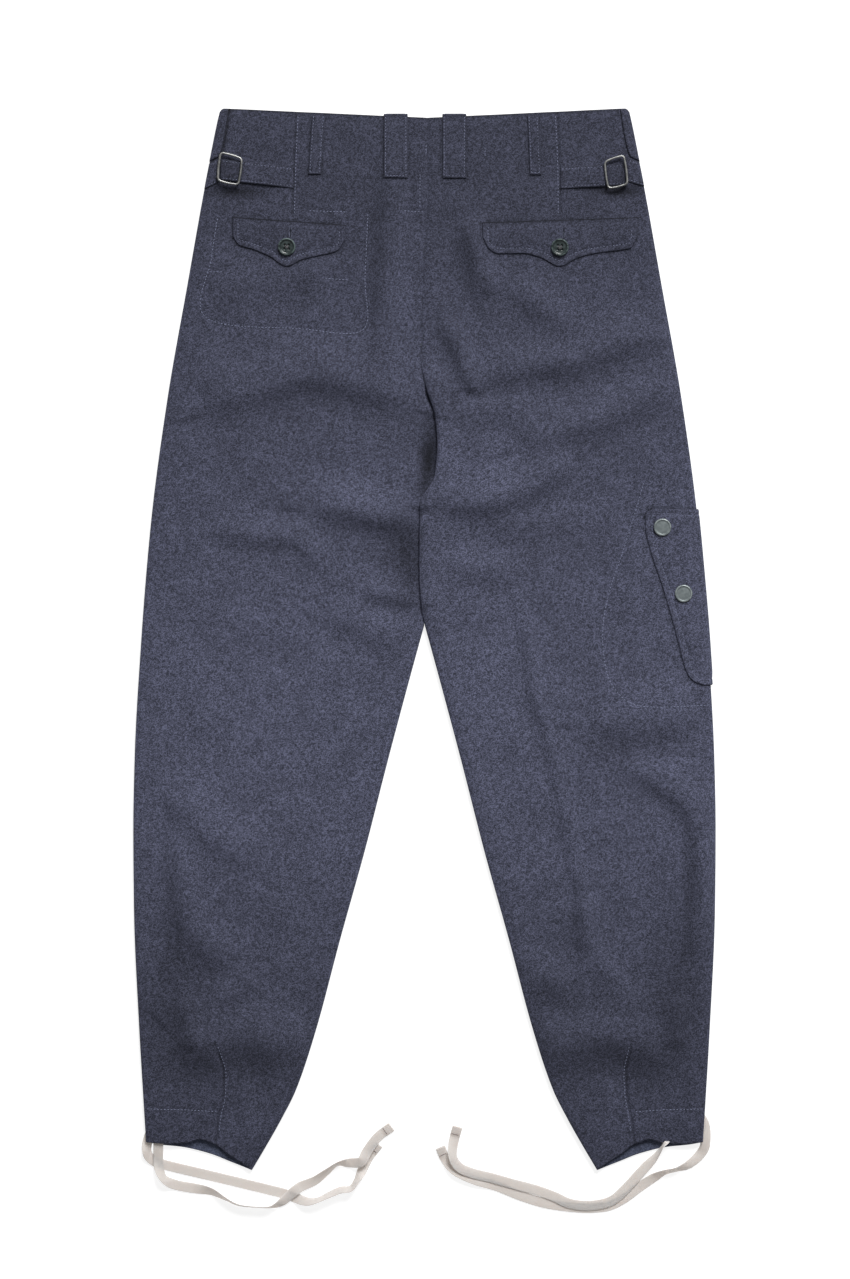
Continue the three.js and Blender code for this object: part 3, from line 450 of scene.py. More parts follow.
def ripples(x, down):
    """Small unevenness of heavy cloth: twelve sine waves of seeded directions and lengths."""
    chance = np.random.default_rng(11)
    total = np.zeros(x.shape)
    for _ in range(12):
        turn, length, phase = chance.uniform(0, math.pi), chance.uniform(28, 90), chance.uniform(0, 6.3)
        wave = 2 * math.pi / length
        total += np.sin(wave * (x * math.cos(turn) + down * math.sin(turn)) + phase) * length / 90
    return 0.16 * total


def dart_groove(side, x, down):
    """Depth pressed in along the waist dart and the ankle dart: a narrow bell curve on the line, less a
    wider one beside it, where the cloth swells."""
    off = np.abs(x) - dart_half[side](down)
    strength = 0.5 * (1 - smooth(WAIST_DART_END - 12, WAIST_DART_END, down))
    strength = strength + 0.7 * smooth(ANKLE_DART_START - 8, ANKLE_DART_START + 25, down)
    return strength * bell(off, 1.3) - 0.45 * strength * bell(off - 3.5, 3)


def sewn_groove(side, x, down):
    """Depth pressed in along the lines sewn through a panel."""
    total = np.zeros(x.shape)
    for line_side, path in SEWN_LINES:
        if line_side != side:
            continue
        line = resample(path, 20)
        here = near(line, 9, x, down)
        distance, _ = beside(line, x[here], down[here])
        total[here] = np.maximum(total[here], 0.45 * bell(distance, 2.4))
    return total


def panel_height(side, x, down):
    """Height of a back panel's outer face: the rest height with the folds, rolled down at the side and
    the inseam by a quarter round, opened at the cuff, lifted at the lap, and pressed in at seams."""
    from_side = side_half(down) - np.abs(x)
    from_inner = side * (x - back_inner(side, down))
    start, _, until = LAPPED
    # The inner edge rolls down too, the right panel's below the seat and the left one's from the lap.
    rolls = smooth(470, 540, down) if side > 0 else smooth(start - 15, start, down)
    shape = roll(from_side, SIDE_ROLL) * mix(1, roll(from_inner, SIDE_ROLL), rolls)
    cuff = CUFF_OPEN * smooth(975, 1010, down) * (1 - smooth(0, 60, from_side))
    from_waist = down - waist_down(np.clip(np.abs(x) / side_half(down), 0, 1))
    press = WAIST_PRESS * (1 - smooth(0, 12, from_waist))
    from_hem = back_hem(np.clip(from_inner / (from_inner + from_side), 0, 1)) - down
    free = BACK_TOP + fold_height(x, down) * smooth(0, 40, down) - RIM_TOP - press
    free = free * (0.5 + 0.5 * smooth(0, 22, from_hem))
    lift = np.zeros(x.shape)
    if side > 0:  # raised over the lap, its edge turned down, and a swell beside the seat hollow
        lifted = smooth(start - 50, start - 10, down) * (1 - smooth(until + 12, CROTCH_DOWN + 13, down))
        lift = LAP_RAISE * lifted * bell(from_inner, 30)
        lift = lift - 2 * lifted * (1 - roll(from_inner, 7))
        lift = lift + 2 * bell(down - 346, 34) * bell(from_inner, 14)
    above_lap = 1 - smooth(start - 10, start + 10, down)
    seam = above_lap * (0.55 * bell(from_inner, 1.8) - 0.25 * bell(from_inner - 6, 3))
    calm = roll(from_side, SIDE_ROLL)
    height = RIM_TOP + free * shape + cuff + lift + ripples(x, down) * shape * calm
    height = height - seam - dart_groove(side, x, down) - sewn_groove(side, x, down) * calm
    return np.maximum(height - hollows(side, x, down)[0], RIM_TOP)


# Meshes

def link(name, data):
    """A new object in the scene."""
    made = bpy.data.objects.new(name, data)
    bpy.context.scene.collection.objects.link(made)
    return made


def make_piece(name, points, faces, finish, slot, uv=None, values=None):
    """A mesh from points in millimetres and faces as lists of rows of point numbers. The uv and the
    named values, where given, are one for each point."""
    mesh = bpy.data.meshes.new(name)
    corners = np.concatenate([block.ravel() for block in faces])
    sizes = np.concatenate([np.full(len(block), block.shape[1]) for block in faces])
    mesh.vertices.add(len(points))
    mesh.vertices.foreach_set("co", (points * MM).astype(np.float32).ravel())
    mesh.loops.add(len(corners))
    mesh.loops.foreach_set("vertex_index", corners.astype(np.int32))
    mesh.polygons.add(len(sizes))
    mesh.polygons.foreach_set("loop_start", (np.cumsum(sizes) - sizes).astype(np.int32))
    mesh.polygons.foreach_set("use_smooth", np.ones(len(sizes), bool))
    if uv is not None:
        layer = mesh.uv_layers.new(name="cloth")
        layer.data.foreach_set("uv", uv[corners].astype(np.float32).ravel())
    for title, numbers in (values or {}).items():
        held = mesh.attributes.new(title, "FLOAT", "POINT")
        held.data.foreach_set("value", numbers.astype(np.float32).ravel())
    mesh.update(calc_edges=True)
    mesh.validate()
    mesh.materials.append(finish)
    piece = link(name, mesh)
    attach(piece, "root")
    return piece


def grid_faces(rows, columns, start=0, around=False):
    """Four-cornered faces of a grid of points numbered row by row. Around joins the last column to
    the first."""
    number = start + np.arange(rows * columns).reshape(rows, columns)
    if around:
        number = np.column_stack([number, number[:, 0]])
    corners = [number[:-1, :-1], number[:-1, 1:], number[1:, 1:], number[1:, :-1]]
    return np.stack(corners, -1).reshape(-1, 4)


def shell(top, bottom):
    """Points and faces of a closed cloth: its top grid, its bottom grid turned over, and a rim."""
    rows, columns = top.shape[:2]
    count = rows * columns
    number = np.arange(count).reshape(rows, columns)
    rim = np.concatenate([number[0], number[1:, -1], number[-1, -2::-1], number[-2:0:-1, 0]])
    nearer = np.roll(rim, -1)
    sides = np.stack([rim + count, nearer + count, nearer, rim], -1)
    faces = [grid_faces(rows, columns), grid_faces(rows, columns, count)[:, ::-1], sides]
    across, down = top[0, 1] - top[0, 0], top[1, 0] - top[0, 0]
    if np.cross(across, down)[2] < 0:
        faces = [block[:, ::-1] for block in faces]
    return np.concatenate([top.reshape(-1, 3), bottom.reshape(-1, 3)]), faces


def outward(points, faces):
    """Faces turned over if they point inwards: the volume inside, summed from the four-cornered ones
    as products of their corners, is then below zero."""
    a, b, c, d = (points[faces[0][:, k]] for k in range(4))
    volume = (a * np.cross(b, c)).sum() + (a * np.cross(c, d)).sum()
    return [block[:, ::-1] for block in faces] if volume < 0 else faces


def edge_round(distances, thick):
    """Share of the thickness left near a cloth's rounded edge, never less than a quarter."""
    return np.maximum(roll(np.minimum.reduce(distances), thick / 2), 0.25)


def normals_of(points):
    """Unit normals of a grid of points, upward, from the cross product of its two directions."""
    normal = unit(np.cross(np.gradient(points, axis=0), np.gradient(points, axis=1)))
    return normal * np.where(normal[..., 2:].sum() < 0, -1, 1)


def points_of(x, y, z):
    """Points from their coordinates, each a number or an array of them."""
    return np.stack(np.broadcast_arrays(x, y, z), -1)


def cloth_wall(x, down, middle, edges):
    """A cloth of full thickness about a middle height, less thick where its edges are rounded."""
    half = CLOTH / 2 * edge_round(edges, CLOTH)
    return shell(*(points_of(x, y_at(down), middle + way * half) for way in (1, -1)))


def make_cloth(name, replaced, shape, finish, painted_shading=None):
    """A cloth that replaces a solid. Its painted shading, how much lighter its colour is painted to
    stand in for light, or below zero darker for shade, holds for both its faces.
    """
    values = None if painted_shading is None else {"painted_shading": np.concatenate([painted_shading.ravel()] * 2)}
    cloth = make_piece(name, *shape, finish, "wool", values=values)
    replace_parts(cloth, replaced)
    return cloth


def tube(centres, wide, thick, section):
    """Points of a section carried along a path: each ring is its centre, plus the section's first
    number along the width direction and its second along the thickness direction."""
    return centres[:, None] + wide[:, None] * section[..., :1] + thick[:, None] * section[..., 1:]


# Camera and ankle tapes

def make_camera():
    """Straight above, at the distance where the long side of the picture is 1279 mm."""
    data = bpy.data.cameras.new("camera")
    data.lens, data.sensor_width = 100, 36
    camera = link("camera", data)
    camera.location = (0.0005, 0, 1.279 * data.lens / data.sensor_width + 0.007)
    bpy.context.scene.camera = camera


def make_tape(name, route, finish):
    """An ankle tape: a flat section with rounded edges carried along its route. The width leans up by
    the lean, so the middle lies half the width times its sine above what it lies on. The last
    stretch is doubled where the end is folded back. Returns the ends of the fold's stitches."""
    x, down, lean, over = resample(route, TAPE_STEP).T
    tilt = np.radians(lean)
    half, thick = TAPE_WIDTH / 2, TAPE_THICK / 2
    height = over + half * np.abs(np.sin(tilt)) + 0.4 * np.cos(tilt) + 0.1
    centres = np.column_stack([x, y_at(down), height])
    ax, ay = unit(np.gradient(centres[:, :2], axis=0)).T
    wide = np.column_stack([-ay * np.cos(tilt), ax * np.cos(tilt), np.sin(tilt)])
    up = np.column_stack([ay * np.sin(tilt), -ax * np.sin(tilt), np.cos(tilt)])
    reach = reach_along(centres)
    from_end = reach[-1] - reach
    raised = 2 * smooth(TAPE_HEM + 2.4, TAPE_HEM + 1, from_end) - 0.5 * bell(from_end - TAPE_HEM, 0.8)
    cos, sin = np.cos(circle(28)), np.sin(circle(28))
    flat = np.column_stack([np.sign(cos) * np.abs(cos) ** 0.75 * half,
                            np.sign(sin) * np.abs(sin) ** 0.35 * thick])
    section = np.repeat(flat[None], len(x), axis=0)
    upper = (section[..., 1] > 0) & (np.abs(section[..., 0]) < half * 0.99)
    section[..., 1] += np.where(upper, raised[:, None] * thick, 0)
    points = tube(centres, wide, up, section)
    rows, sides = points.shape[:2]
    points = points.reshape(-1, 3)
    ends = np.array([np.arange(sides)[::-1], (rows - 1) * sides + np.arange(sides)])
    faces = outward(points, [grid_faces(rows, sides, around=True), ends])
    uv = np.stack([section[..., 0], np.repeat(reach[:, None], sides, 1)], -1).reshape(-1, 2)
    # Painted light: how far the tape turns from the key light; the tape's colour is painted paler by
    # it.
    turned = np.clip(1 - up @ KEY_PLACE / KEY_PLACE[2], -0.6, 0.9)
    tape = make_piece(name, points, faces, finish, "cotton_tape", uv,
                      {"turned": np.repeat(turned, sides)})
    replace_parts(tape, name)
    hem = len(x) - 1 - int(round(TAPE_HEM / TAPE_STEP))
    middle, reach_out = centres[hem] + up[hem] * (3 * thick), wide[hem] * half * 0.86
    return np.array([middle + reach_out, middle - reach_out])


# Materials

def set_inputs(tree, made, inputs):
    """Gives a node's inputs their values, or links them to other nodes' outputs."""
    for key, value in inputs.items():
        if isinstance(value, bpy.types.NodeSocket):
            tree.links.new(value, made.inputs[key])
        else:
            made.inputs[key].default_value = value


def node(tree, kind, inputs=None, **settings):
    """A node with its settings and its inputs."""
    made = tree.nodes.new(kind)
    for key, value in settings.items():
        setattr(made, key, value)
    set_inputs(tree, made, inputs or {})
    return made


def maths(tree, operation, a, b):
    """One step of arithmetic on two numbers."""
    return node(tree, "ShaderNodeMath", {0: a, 1: b}, operation=operation).outputs[0]


def ranged(tree, value, low, high, start=0.0, end=1.0):
    """The value carried from one range to another, held at its ends."""
    inputs = {"Value": value, "From Min": low, "From Max": high, "To Min": start, "To Max": end}
    return node(tree, "ShaderNodeMapRange", inputs, interpolation_type="SMOOTHSTEP").outputs[0]


def noise(tree, vector, scale, detail=2.0, rough=0.5):
    """Soft noise from 0 to 1. The scale is one over the size of its patches."""
    inputs = {"Vector": vector, "Scale": scale, "Detail": detail, "Roughness": rough}
    return node(tree, "ShaderNodeTexNoise", inputs).outputs[0]


def blend(tree, share, a, b, kind="MIX"):
    """Two colours mixed by a share."""
    settings = {"data_type": "RGBA", "blend_type": kind}
    return node(tree, "ShaderNodeMix", {0: share, 6: a, 7: b}, **settings).outputs[2]


def scaled(tree, base, gain):
    """A colour times a number."""
    level = node(tree, "ShaderNodeCombineColor", {0: gain, 1: gain, 2: gain}).outputs[0]
    return blend(tree, 1.0, base, level, "MULTIPLY")


def bumped(tree, height, strength, distance):
    """The normal that a height in millimetres gives."""
    inputs = {"Height": height, "Strength": strength, "Distance": distance * MM}
    return node(tree, "ShaderNodeBump", inputs).outputs[0]


def own_place(tree):
    """The piece's own coordinates."""
    return node(tree, "ShaderNodeTexCoord").outputs["Object"]


def own_uv(tree):
    """The piece's uv, laid out in millimetres on the tapes."""
    return node(tree, "ShaderNodeUVMap", uv_map="cloth").outputs[0]


def new_material(name):
    """A new material and its node tree."""
    material = bpy.data.materials.new(name)
    material.use_nodes = True
    return material, material.node_tree


def set_shader(tree, inputs):
    """Gives the shader of a material its inputs."""
    set_inputs(tree, tree.nodes["Principled BSDF"], inputs)


def colour(red, green, blue):
    """A linear colour from the 0 to 255 values of a screen."""
    share = np.array([red, green, blue]) / 255
    linear = np.where(share <= 0.04045, share / 12.92, ((share + 0.055) / 1.055) ** 2.4)
    return (*linear.tolist(), 1.0)


def new_group(name, inputs, outputs):
    """A shader node group with named inputs and outputs, and its two end nodes."""
    tree = bpy.data.node_groups.new(name, "ShaderNodeTree")
    for title, kind in inputs:
        tree.interface.new_socket(title, in_out="INPUT", socket_type=kind)
    for title in outputs:
        tree.interface.new_socket(title, in_out="OUTPUT", socket_type="NodeSocketFloat")
    return tree, tree.nodes.new("NodeGroupInput").outputs, tree.nodes.new("NodeGroupOutput").inputs


def heather_group():
    """Fibres of a felted, many-coloured wool: stretched noise at several turns, cut to thin specks,
    light ones and dark ones apart, with soft clouds and the nap's height."""
    tree, given, put = new_group("heather", [("Vector", "NodeSocketVector")],
                                 ["Light", "Dark", "Cloud", "Nap"])

    def fibres(turn, long, thin, low, high, shift):
        """Specks a length long and thin, turned, from noise drawn out along them."""
        places = {"Vector": given[0], "Location": (shift * long, 2 * shift * long, 0),
                  "Rotation": (0, 0, turn), "Scale": (long, thin, thin)}
        turned = node(tree, "ShaderNodeMapping", places, vector_type="TEXTURE").outputs[0]
        return ranged(tree, noise(tree, turned, 1.0, 1.5, 0.55), low, high)

    def weighed(a, share_a, b, share_b):
        """The sum of two values, each times its share."""
        parts = [maths(tree, "MULTIPLY", a, share_a), maths(tree, "MULTIPLY", b, share_b)]
        return maths(tree, "ADD", *parts)

    light = [fibres(0.35 + k * 0.63, 3.4 * MM, 0.75 * MM, 0.58, 0.69, 31 + 7 * k) for k in range(6)]
    dark = [fibres(0.1 + k * 0.79, 3.4 * MM, 1.2 * MM, 0.54, 0.7, 173 + 11 * k) for k in range(4)]
    for title, parts in (("Light", light), ("Dark", dark)):
        total = parts[0]
        for part in parts[1:]:
            total = maths(tree, "MAXIMUM", total, part)
        tree.links.new(total, put[title])
    broad = ranged(tree, noise(tree, given[0], 1 / (26 * MM), 3.0, 0.6), 0.35, 0.65)
    close = ranged(tree, noise(tree, given[0], 1 / (6.5 * MM)), 0.35, 0.65)
    tree.links.new(weighed(broad, 0.4, close, 0.6), put["Cloud"])
    nap = noise(tree, given[0], 1 / (2.2 * MM), 3.0, 0.62)
    tree.links.new(weighed(nap, 1.0, light[1], 0.35), put["Nap"])
    return tree


def wool_material(name, heather, deep, mid, light):
    """Felted wool: the mid colour with dark and light fibres, painted lighter or darker by the cloth's
    painted shading, which stands in for light and shade.
    """
    material, tree = new_material(name)
    fibres = node(tree, "ShaderNodeGroup", {0: own_place(tree)}, node_tree=heather).outputs
    base = blend(tree, maths(tree, "MULTIPLY", fibres["Dark"], 0.74), mid, deep)
    base = blend(tree, maths(tree, "MULTIPLY", fibres["Light"], 0.66), base, light)
    painted_shading = node(tree, "ShaderNodeAttribute", attribute_name="painted_shading").outputs["Fac"]
    cloud = ranged(tree, fibres["Cloud"], 0, 1, 0.91, 1.09)
    gain = maths(tree, "MULTIPLY", maths(tree, "ADD", painted_shading, 1.0), cloud)
    set_shader(tree, {
        "Base Color": scaled(tree, base, gain),
        "Normal": bumped(tree, fibres["Nap"], 0.18, 0.7),
        "Roughness": ranged(tree, fibres["Nap"], 0.3, 0.9, 0.96, 0.86),
        "Sheen Weight": 0.12, "Sheen Roughness": 0.6, "Sheen Tint": colour(170, 176, 205),
        "Specular IOR Level": 0.2,
    })
    return material


def thread_material(name, shade):
    """Sewing thread: two plies wound round each other, as fine noise in two shades."""
    material, tree = new_material(name)
    ply = noise(tree, own_place(tree), 1 / (0.5 * MM), 1.0)
    darker = tuple(0.6 * part for part in shade[:3]) + (1.0,)
    set_shader(tree, {"Base Color": blend(tree, ranged(tree, ply, 0.35, 0.65), darker, shade),
                      "Roughness": 0.7})
    return material


def tape_material():
    """Cotton tape: plain weave ribs across its width and finer ones along it, on its own uv, painted a
    little paler where it is turned from the key light, to stand in for light through the cotton."""
    material, tree = new_material("cotton_tape")
    uv = own_uv(tree)
    ribs = node(tree, "ShaderNodeTexWave", {"Vector": uv, "Scale": 0.34, "Distortion": 0.6,
                                            "Detail": 1.0}, bands_direction="Y").outputs[1]
    warp = node(tree, "ShaderNodeTexWave", {"Vector": uv, "Scale": 0.5, "Distortion": 0.4},
                bands_direction="X").outputs[1]
    weave = maths(tree, "ADD", maths(tree, "MULTIPLY", ribs, 0.6), maths(tree, "MULTIPLY", warp, 0.4))
    stain = noise(tree, own_place(tree), 1 / (14 * MM), 3.0)
    base = blend(tree, ranged(tree, weave, 0.1, 0.9), colour(188, 183, 179), colour(211, 206, 202))
    base = blend(tree, ranged(tree, stain, 0.4, 0.75, 0, 0.25), base, colour(194, 180, 176))
    turned = node(tree, "ShaderNodeAttribute", attribute_name="turned").outputs["Fac"]
    painted_paler = maths(tree, "ADD", maths(tree, "MULTIPLY", turned, 0.22), 1.0)
    set_shader(tree, {
        "Base Color": scaled(tree, base, painted_paler),
        "Normal": bumped(tree, weave, 0.3, 0.2),
        "Roughness": ranged(tree, weave, 0, 1, 0.95, 0.8),
        "Subsurface Weight": 0.6, "Subsurface Radius": (1.0, 0.92, 0.86), "Subsurface Scale": 3 * MM,
    })
    return material


def hard_material(name, low, high, wear_and_painted_falloff, rough, metal, grain):
    """Plastic or metal: two close shades in fine noise, and a worn shade where the uv's first number
    nears the rim."""
    material, tree = new_material(name)
    mottle = noise(tree, own_place(tree), 1 / (grain * MM), 4.0, 0.65)
    base = blend(tree, ranged(tree, mottle, 0.35, 0.68), low, high)
    outer = node(tree, "ShaderNodeSeparateXYZ", {0: own_uv(tree)}).outputs[0]
    scuffed = maths(tree, "MULTIPLY", ranged(tree, outer, 0.8, 0.93), ranged(tree, mottle, 0.4, 0.6))
    set_shader(tree, {"Base Color": blend(tree, scuffed, base, wear_and_painted_falloff),
                      "Normal": bumped(tree, mottle, 0.1, 0.1),
                      "Roughness": ranged(tree, mottle, 0.3, 0.7, rough - 0.08, rough + 0.1),
                      "Metallic": metal})
    return material


make_camera()
tape_cloth = tape_material()
TAPE_SEWING = thread_material("tape_thread", colour(120, 96, 98))
tape_hems = [make_tape(name, route, tape_cloth) for name, route in TAPES.items()]

heather = heather_group()
WOOL = wool_material("wool", heather, colour(29, 31, 40), colour(55.5, 57.5, 71),
                     colour(110, 113, 139))
# The fronts' inside face: its own lighter blue, and painted lighter still to lift the shade under the
# back's hem.
INSIDE_PAINTED_LIGHTER = wool_material("wool_inside_painted_lighter", heather, colour(36, 39, 51), colour(64, 69, 86),
                       colour(104, 111, 135))
SEWING = thread_material("sewing_thread", colour(144, 151, 180))
BUTTON_SEWING = thread_material("button_thread", colour(112, 108, 112))
STEEL = hard_material("buckle_wire", colour(132, 133, 132), colour(160, 160, 158),
                      colour(190, 189, 185), rough=0.42, metal=0.85, grain=6)
BUTTON = hard_material("button", colour(30, 38, 38), colour(46, 57, 57), colour(84, 98, 98),
                       rough=0.34, metal=0.0, grain=2.6)
SNAP = hard_material("snap_cap", colour(104, 112, 114), colour(118, 126, 127), colour(140, 148, 148),
                     rough=0.4, metal=0.2, grain=5)


# The cloth panels

def loop_top(x, wide):
    """Where a belt loop's top is: a wide one's at the waist edge, a narrow one's a little below."""
    return waist_down(abs(x) / side_half(0)) if wide else LOOP_TOP


def outlines():
    """Outlines of the pieces sewn on the back, as x and down: the loops, the flaps, the straps' lower
    edges, the thigh flap's free edge and top, and the left wrap's inner edge. Each has how much the
    panel is shaded along it."""
    found = []
    for _, top_x, bottom_x, bottom_down, width, wide in LOOPS:
        top, half = loop_top(top_x, wide), width / 2
        found.append((0.24, [(top_x - half, top), (bottom_x - half, bottom_down),
                             (bottom_x + half, bottom_down), (top_x + half, top)]))
    a = np.linspace(0, 1, 40)
    for _, _, left, right, top_left, top_right, _, _, edge in FLAPS:
        low = zip(mix(left, right, a), mix(top_left, top_right, a) + curve(edge)(a))
        found.append((0.22, [(right, top_right), (left, top_left), *low, (right, top_right)]))
    for _, _, (x1, down1, x2, down2, width), _, _ in CINCHES:
        found.append((0.22, [(x2, down2 + width / 2), (x1, down1 + width / 2)]))
    a = np.linspace(0, 1, 60)
    free = list(zip(thigh_edge(a), mix(THIGH_TOP, THIGH_BOTTOM, a)))
    found.append((0.34, [*free, (side_half(THIGH_BOTTOM), THIGH_BOTTOM)]))
    found.append((0.45, [(side_half(THIGH_TOP), THIGH_TOP - 0.5), *free[:4]]))
    down = np.linspace(WRAP_LINE[0][0], WRAP_LINE[-1][0], 12)
    found.append((0.5, list(zip(0.4 - wrap_line(down), down))))
    return found


def panel_painted_shading(side, x, down):
    """How much lighter a back panel is painted, or below zero darker: the painted light falloff by its
    distance from the waist, painted shade in the hollows, and painted shade for a short way along the
    pieces sewn on it."""
    painted_shading = wear_and_painted_falloff(down) - hollows(side, x, down)[1]
    for shade, path in outlines():
        line = np.array(path, float)
        here = near(line, 5, x, down)
        distance, _ = beside(line, x[here], down[here])
        painted_shading[here] -= shade * bell(distance, 1.6)
    return painted_shading


def make_back(side):
    """A back panel: columns from the inner edge to the side edge, with one that follows the darts,
    and rows from the waist to the hem, lifted to the panel's height."""
    column = 0.57  # share of the width where the column of the darts starts
    offsets = np.array([-2.6, -1.3, -0.5, 0, 0.5, 1.3, 2.6]) / 250  # close columns beside it
    across = spread(92, 250, 1.2)
    across = np.sort(np.concatenate([across[np.abs(across - column) > 3.6 / 250], column + offsets]))
    along, across = np.meshgrid(spread(430, 1055, 1.2), across, indexing="ij")
    down = mix(waist_edge(across), back_hem(across), along)
    inner, outer = side * back_inner(side, down), side_half(down)
    dart = (dart_half[side](down) - inner) / (outer - inner)
    warped = np.where(across < column, across * dart / column,
                      1 - (1 - across) * (1 - dart) / (1 - column))
    down = mix(waist_edge(warped), back_hem(warped), along)
    inner, outer = side * back_inner(side, down), side_half(down)
    x = side * mix(inner, outer, warped)
    from_waist = down - waist_edge(warped)
    lapped = smooth(LAPPED[0] - 20, LAPPED[0], down)
    softer = lapped * (1 - smooth(CROTCH_DOWN, CROTCH_DOWN + 30, down)) if side > 0 else 0
    from_inner = (side * x - inner) / mix(1, 2.5, softer) + CLOTH / 2 * (1 - lapped)
    edges = [outer - side * x, from_inner, from_waist, back_hem(warped) - down]
    shape = cloth_wall(x, down, panel_height(side, x, down) - CLOTH / 2, edges)
    # Painted shade: a dark line painted along the waist edge and darkening painted in the dart grooves.
    painted_shading = -0.45 * bell(from_waist, 1.3) - 0.5 * dart_groove(side, x, down).clip(0) / 1.1
    painted_shading = painted_shading + panel_painted_shading(side, x, down)
    panel = make_cloth(f"back_panel_{HAND[side]}", f"back_{HAND[side]}", shape, WOOL, painted_shading)


def fly_edge(width, down):
    """The fly's edge: a width out from the middle, and low down a quarter circle back to it."""
    return np.sqrt(np.clip(width ** 2 - (down - FLY_STRAIGHT).clip(0) ** 2, 0, None))


def make_front(side):
    """A front panel, flat on the surface: a grid from the middle line to the side edge, with all its
    edges rounded, and the fly's place cut out of the left one."""
    along, across = np.meshgrid(spread(150, 1055, 1.1), spread(36, 250, 1.1), indexing="ij")
    reach = FLY_WIDTH + BUTT if side < 0 else 0
    waist = waist_edge(mix(reach / side_half(0), 1, across))
    down = mix(waist, front_hem(across), along)
    inner = np.maximum(inseam_half(down), BUTT / 2)
    if side < 0:
        beside_fly = np.maximum(fly_edge(reach, down), BUTT / 2)
        inner = np.where(down < FLY_STRAIGHT + reach, beside_fly, inner)
    outer = side_half(down)
    x = side * mix(inner, outer, across)
    edges = [outer - side * x, side * x - inner, down - waist, front_hem(across) - down]
    shape = cloth_wall(x, down, CLOTH / 2, edges)
    panel = make_cloth(f"front_panel_{HAND[side]}", f"front_{HAND[side]}", shape, INSIDE_PAINTED_LIGHTER)


def make_fly():
    """The fly strip between the fronts: straight down its edge, then a quarter circle to the middle."""
    length = FLY_STRAIGHT + FLY_WIDTH
    along, across = np.meshgrid(spread(60, length, 1.1), spread(14, FLY_WIDTH, 1.1), indexing="ij")
    waist = waist_down(across * FLY_WIDTH / side_half(0))
    down = mix(waist, length - 0.4, along)
    outer = np.maximum(fly_edge(FLY_WIDTH, down), BUTT / 2 + 0.6)
    x = -mix(BUTT / 2, outer, across)
    edges = [outer + x, -x - BUTT / 2, down - waist, length - down]
    fly = make_cloth("fly_strip", "fly", cloth_wall(x, down, CLOTH / 2, edges), INSIDE_PAINTED_LIGHTER)


for side in HAND:
    make_back(side)
for side in HAND:
    make_front(side)
make_fly()


# Cloth laid on the back panels

def laid_shell(inner, thick, edges, groove=0):
    """A cloth laid on a surface: its outer grid is a thickness from its inner one along the normal,
    less a groove, and the two draw together where its edges are rounded."""
    share, normal = edge_round(edges, EDGE_SOFT), normals_of(inner)
    lifts = [thick * share - groove * share, thick * (1 - share) * 0.2]
    return shell(*(inner + normal * lift[..., None] for lift in lifts))


def laid_edges(points):
    """Distances of a grid's points from its four edges, measured along its columns and its rows."""
    found = []
    for axis in (0, 1):
        steps = np.linalg.norm(np.diff(points, axis=axis), axis=-1)
        reach = np.insert(np.cumsum(steps, axis=axis), 0, 0, axis=axis)
        found += [reach, np.take(reach, [-1], axis) - reach]
    return found


def on_panel(side, x, down, over=LAY):
    """Points on a back panel's outer face, or a little over it."""
    x, down = np.broadcast_arrays(x, down)
    return points_of(x, y_at(down), panel_height(side, x, down) + over)


def over_edge(last, way, radius, low, bends, drops):
    """How a cloth goes on over an edge from its last points: a quarter round of a radius, and then
    straight down to a low height, at shares of the bend and of the drop."""
    way, up = np.array(way), np.array([0, 0, 1])
    turn = bends[..., None] * math.pi / 2
    over = last + radius * (way * np.sin(turn) - up * (1 - np.cos(turn)))
    past = last + radius * (way - up)
    return over, past + up * (low - past[..., 2:]) * drops[..., None]


def make_flap(row):
    """A pocket flap: between its straight top and its shaped lower edge, with a groove pressed in along
    the topstitching, a soft swell in the middle, and a slit for the button that is only painted dark as
    shade. Returns the line of the topstitching and the two sides of the buttonhole."""
    name, side, left, right, top_left, top_right, button_x, button_down, edge = row
    drop = curve(edge)
    a, b = np.meshgrid(spread(150, right - left, 1), spread(36, 34, 1))
    x, from_top = mix(left, right, a), b * drop(a)
    down = mix(top_left, top_right, a) + from_top
    slant = np.sqrt(1 + np.gradient(drop(a[0]), x[0]) ** 2)
    from_low, from_ends = (1 - b) * drop(a) / slant, np.minimum(x - left, right - x)
    inset = np.minimum(from_low, from_ends)
    groove = 0.35 * bell(inset - FLAP_SEAM, 0.9)
    slit = bell(x - button_x - 4, 0.8) * np.exp(-((down - button_down + 14.5) / 5.5) ** 4)
    dent = 0.5 * bell(np.hypot(x - button_x, down - button_down), 12)
    swell = 0.6 * smooth(6, 14, inset) * smooth(2, 9, from_top)
    shape = laid_shell(on_panel(side, x, down), FLAP_THICK, [from_top, from_low, from_ends],
                       groove + dent - swell)
    # Painted shading: the painted light falloff, painted shade in the slit, along the lower edge and
    # the ends, and a dark line painted along the top.
    painted_shading = wear_and_painted_falloff(down) - 0.03 - 0.6 * slit - 0.2 * bell(inset, 0.8) - 0.65 * bell(from_top, 1.1)
    flap = make_cloth(name + "_cloth", name, shape, WOOL, painted_shading)
    area = float(np.mean(drop(np.linspace(0, 1, 200))) * (right - left)) * MM ** 2
    a = np.linspace(0, 1, 400)
    x = mix(left, right, a)
    slant = np.sqrt(1 + np.gradient(drop(a), x) ** 2)
    down = mix(top_left, top_right, a) + drop(a) - FLAP_SEAM * slant
    kept = (x > left + FLAP_SEAM) & (x < right - FLAP_SEAM)
    x, down = x[kept], down[kept]
    path = [(x[0], down[0] - 14), *zip(x[::6], down[::6]), (x[-1], down[-1] - 10)]
    topstitching = on_panel(side, *resample(path, 1).T, LAY + FLAP_THICK - 0.1)
    down = np.linspace(button_down - 19.5, button_down - 9.5, 12)
    return topstitching, [on_panel(side, button_x + off, down, LAY + FLAP_THICK + 0.35)
                          for off in (3.1, 4.9)]


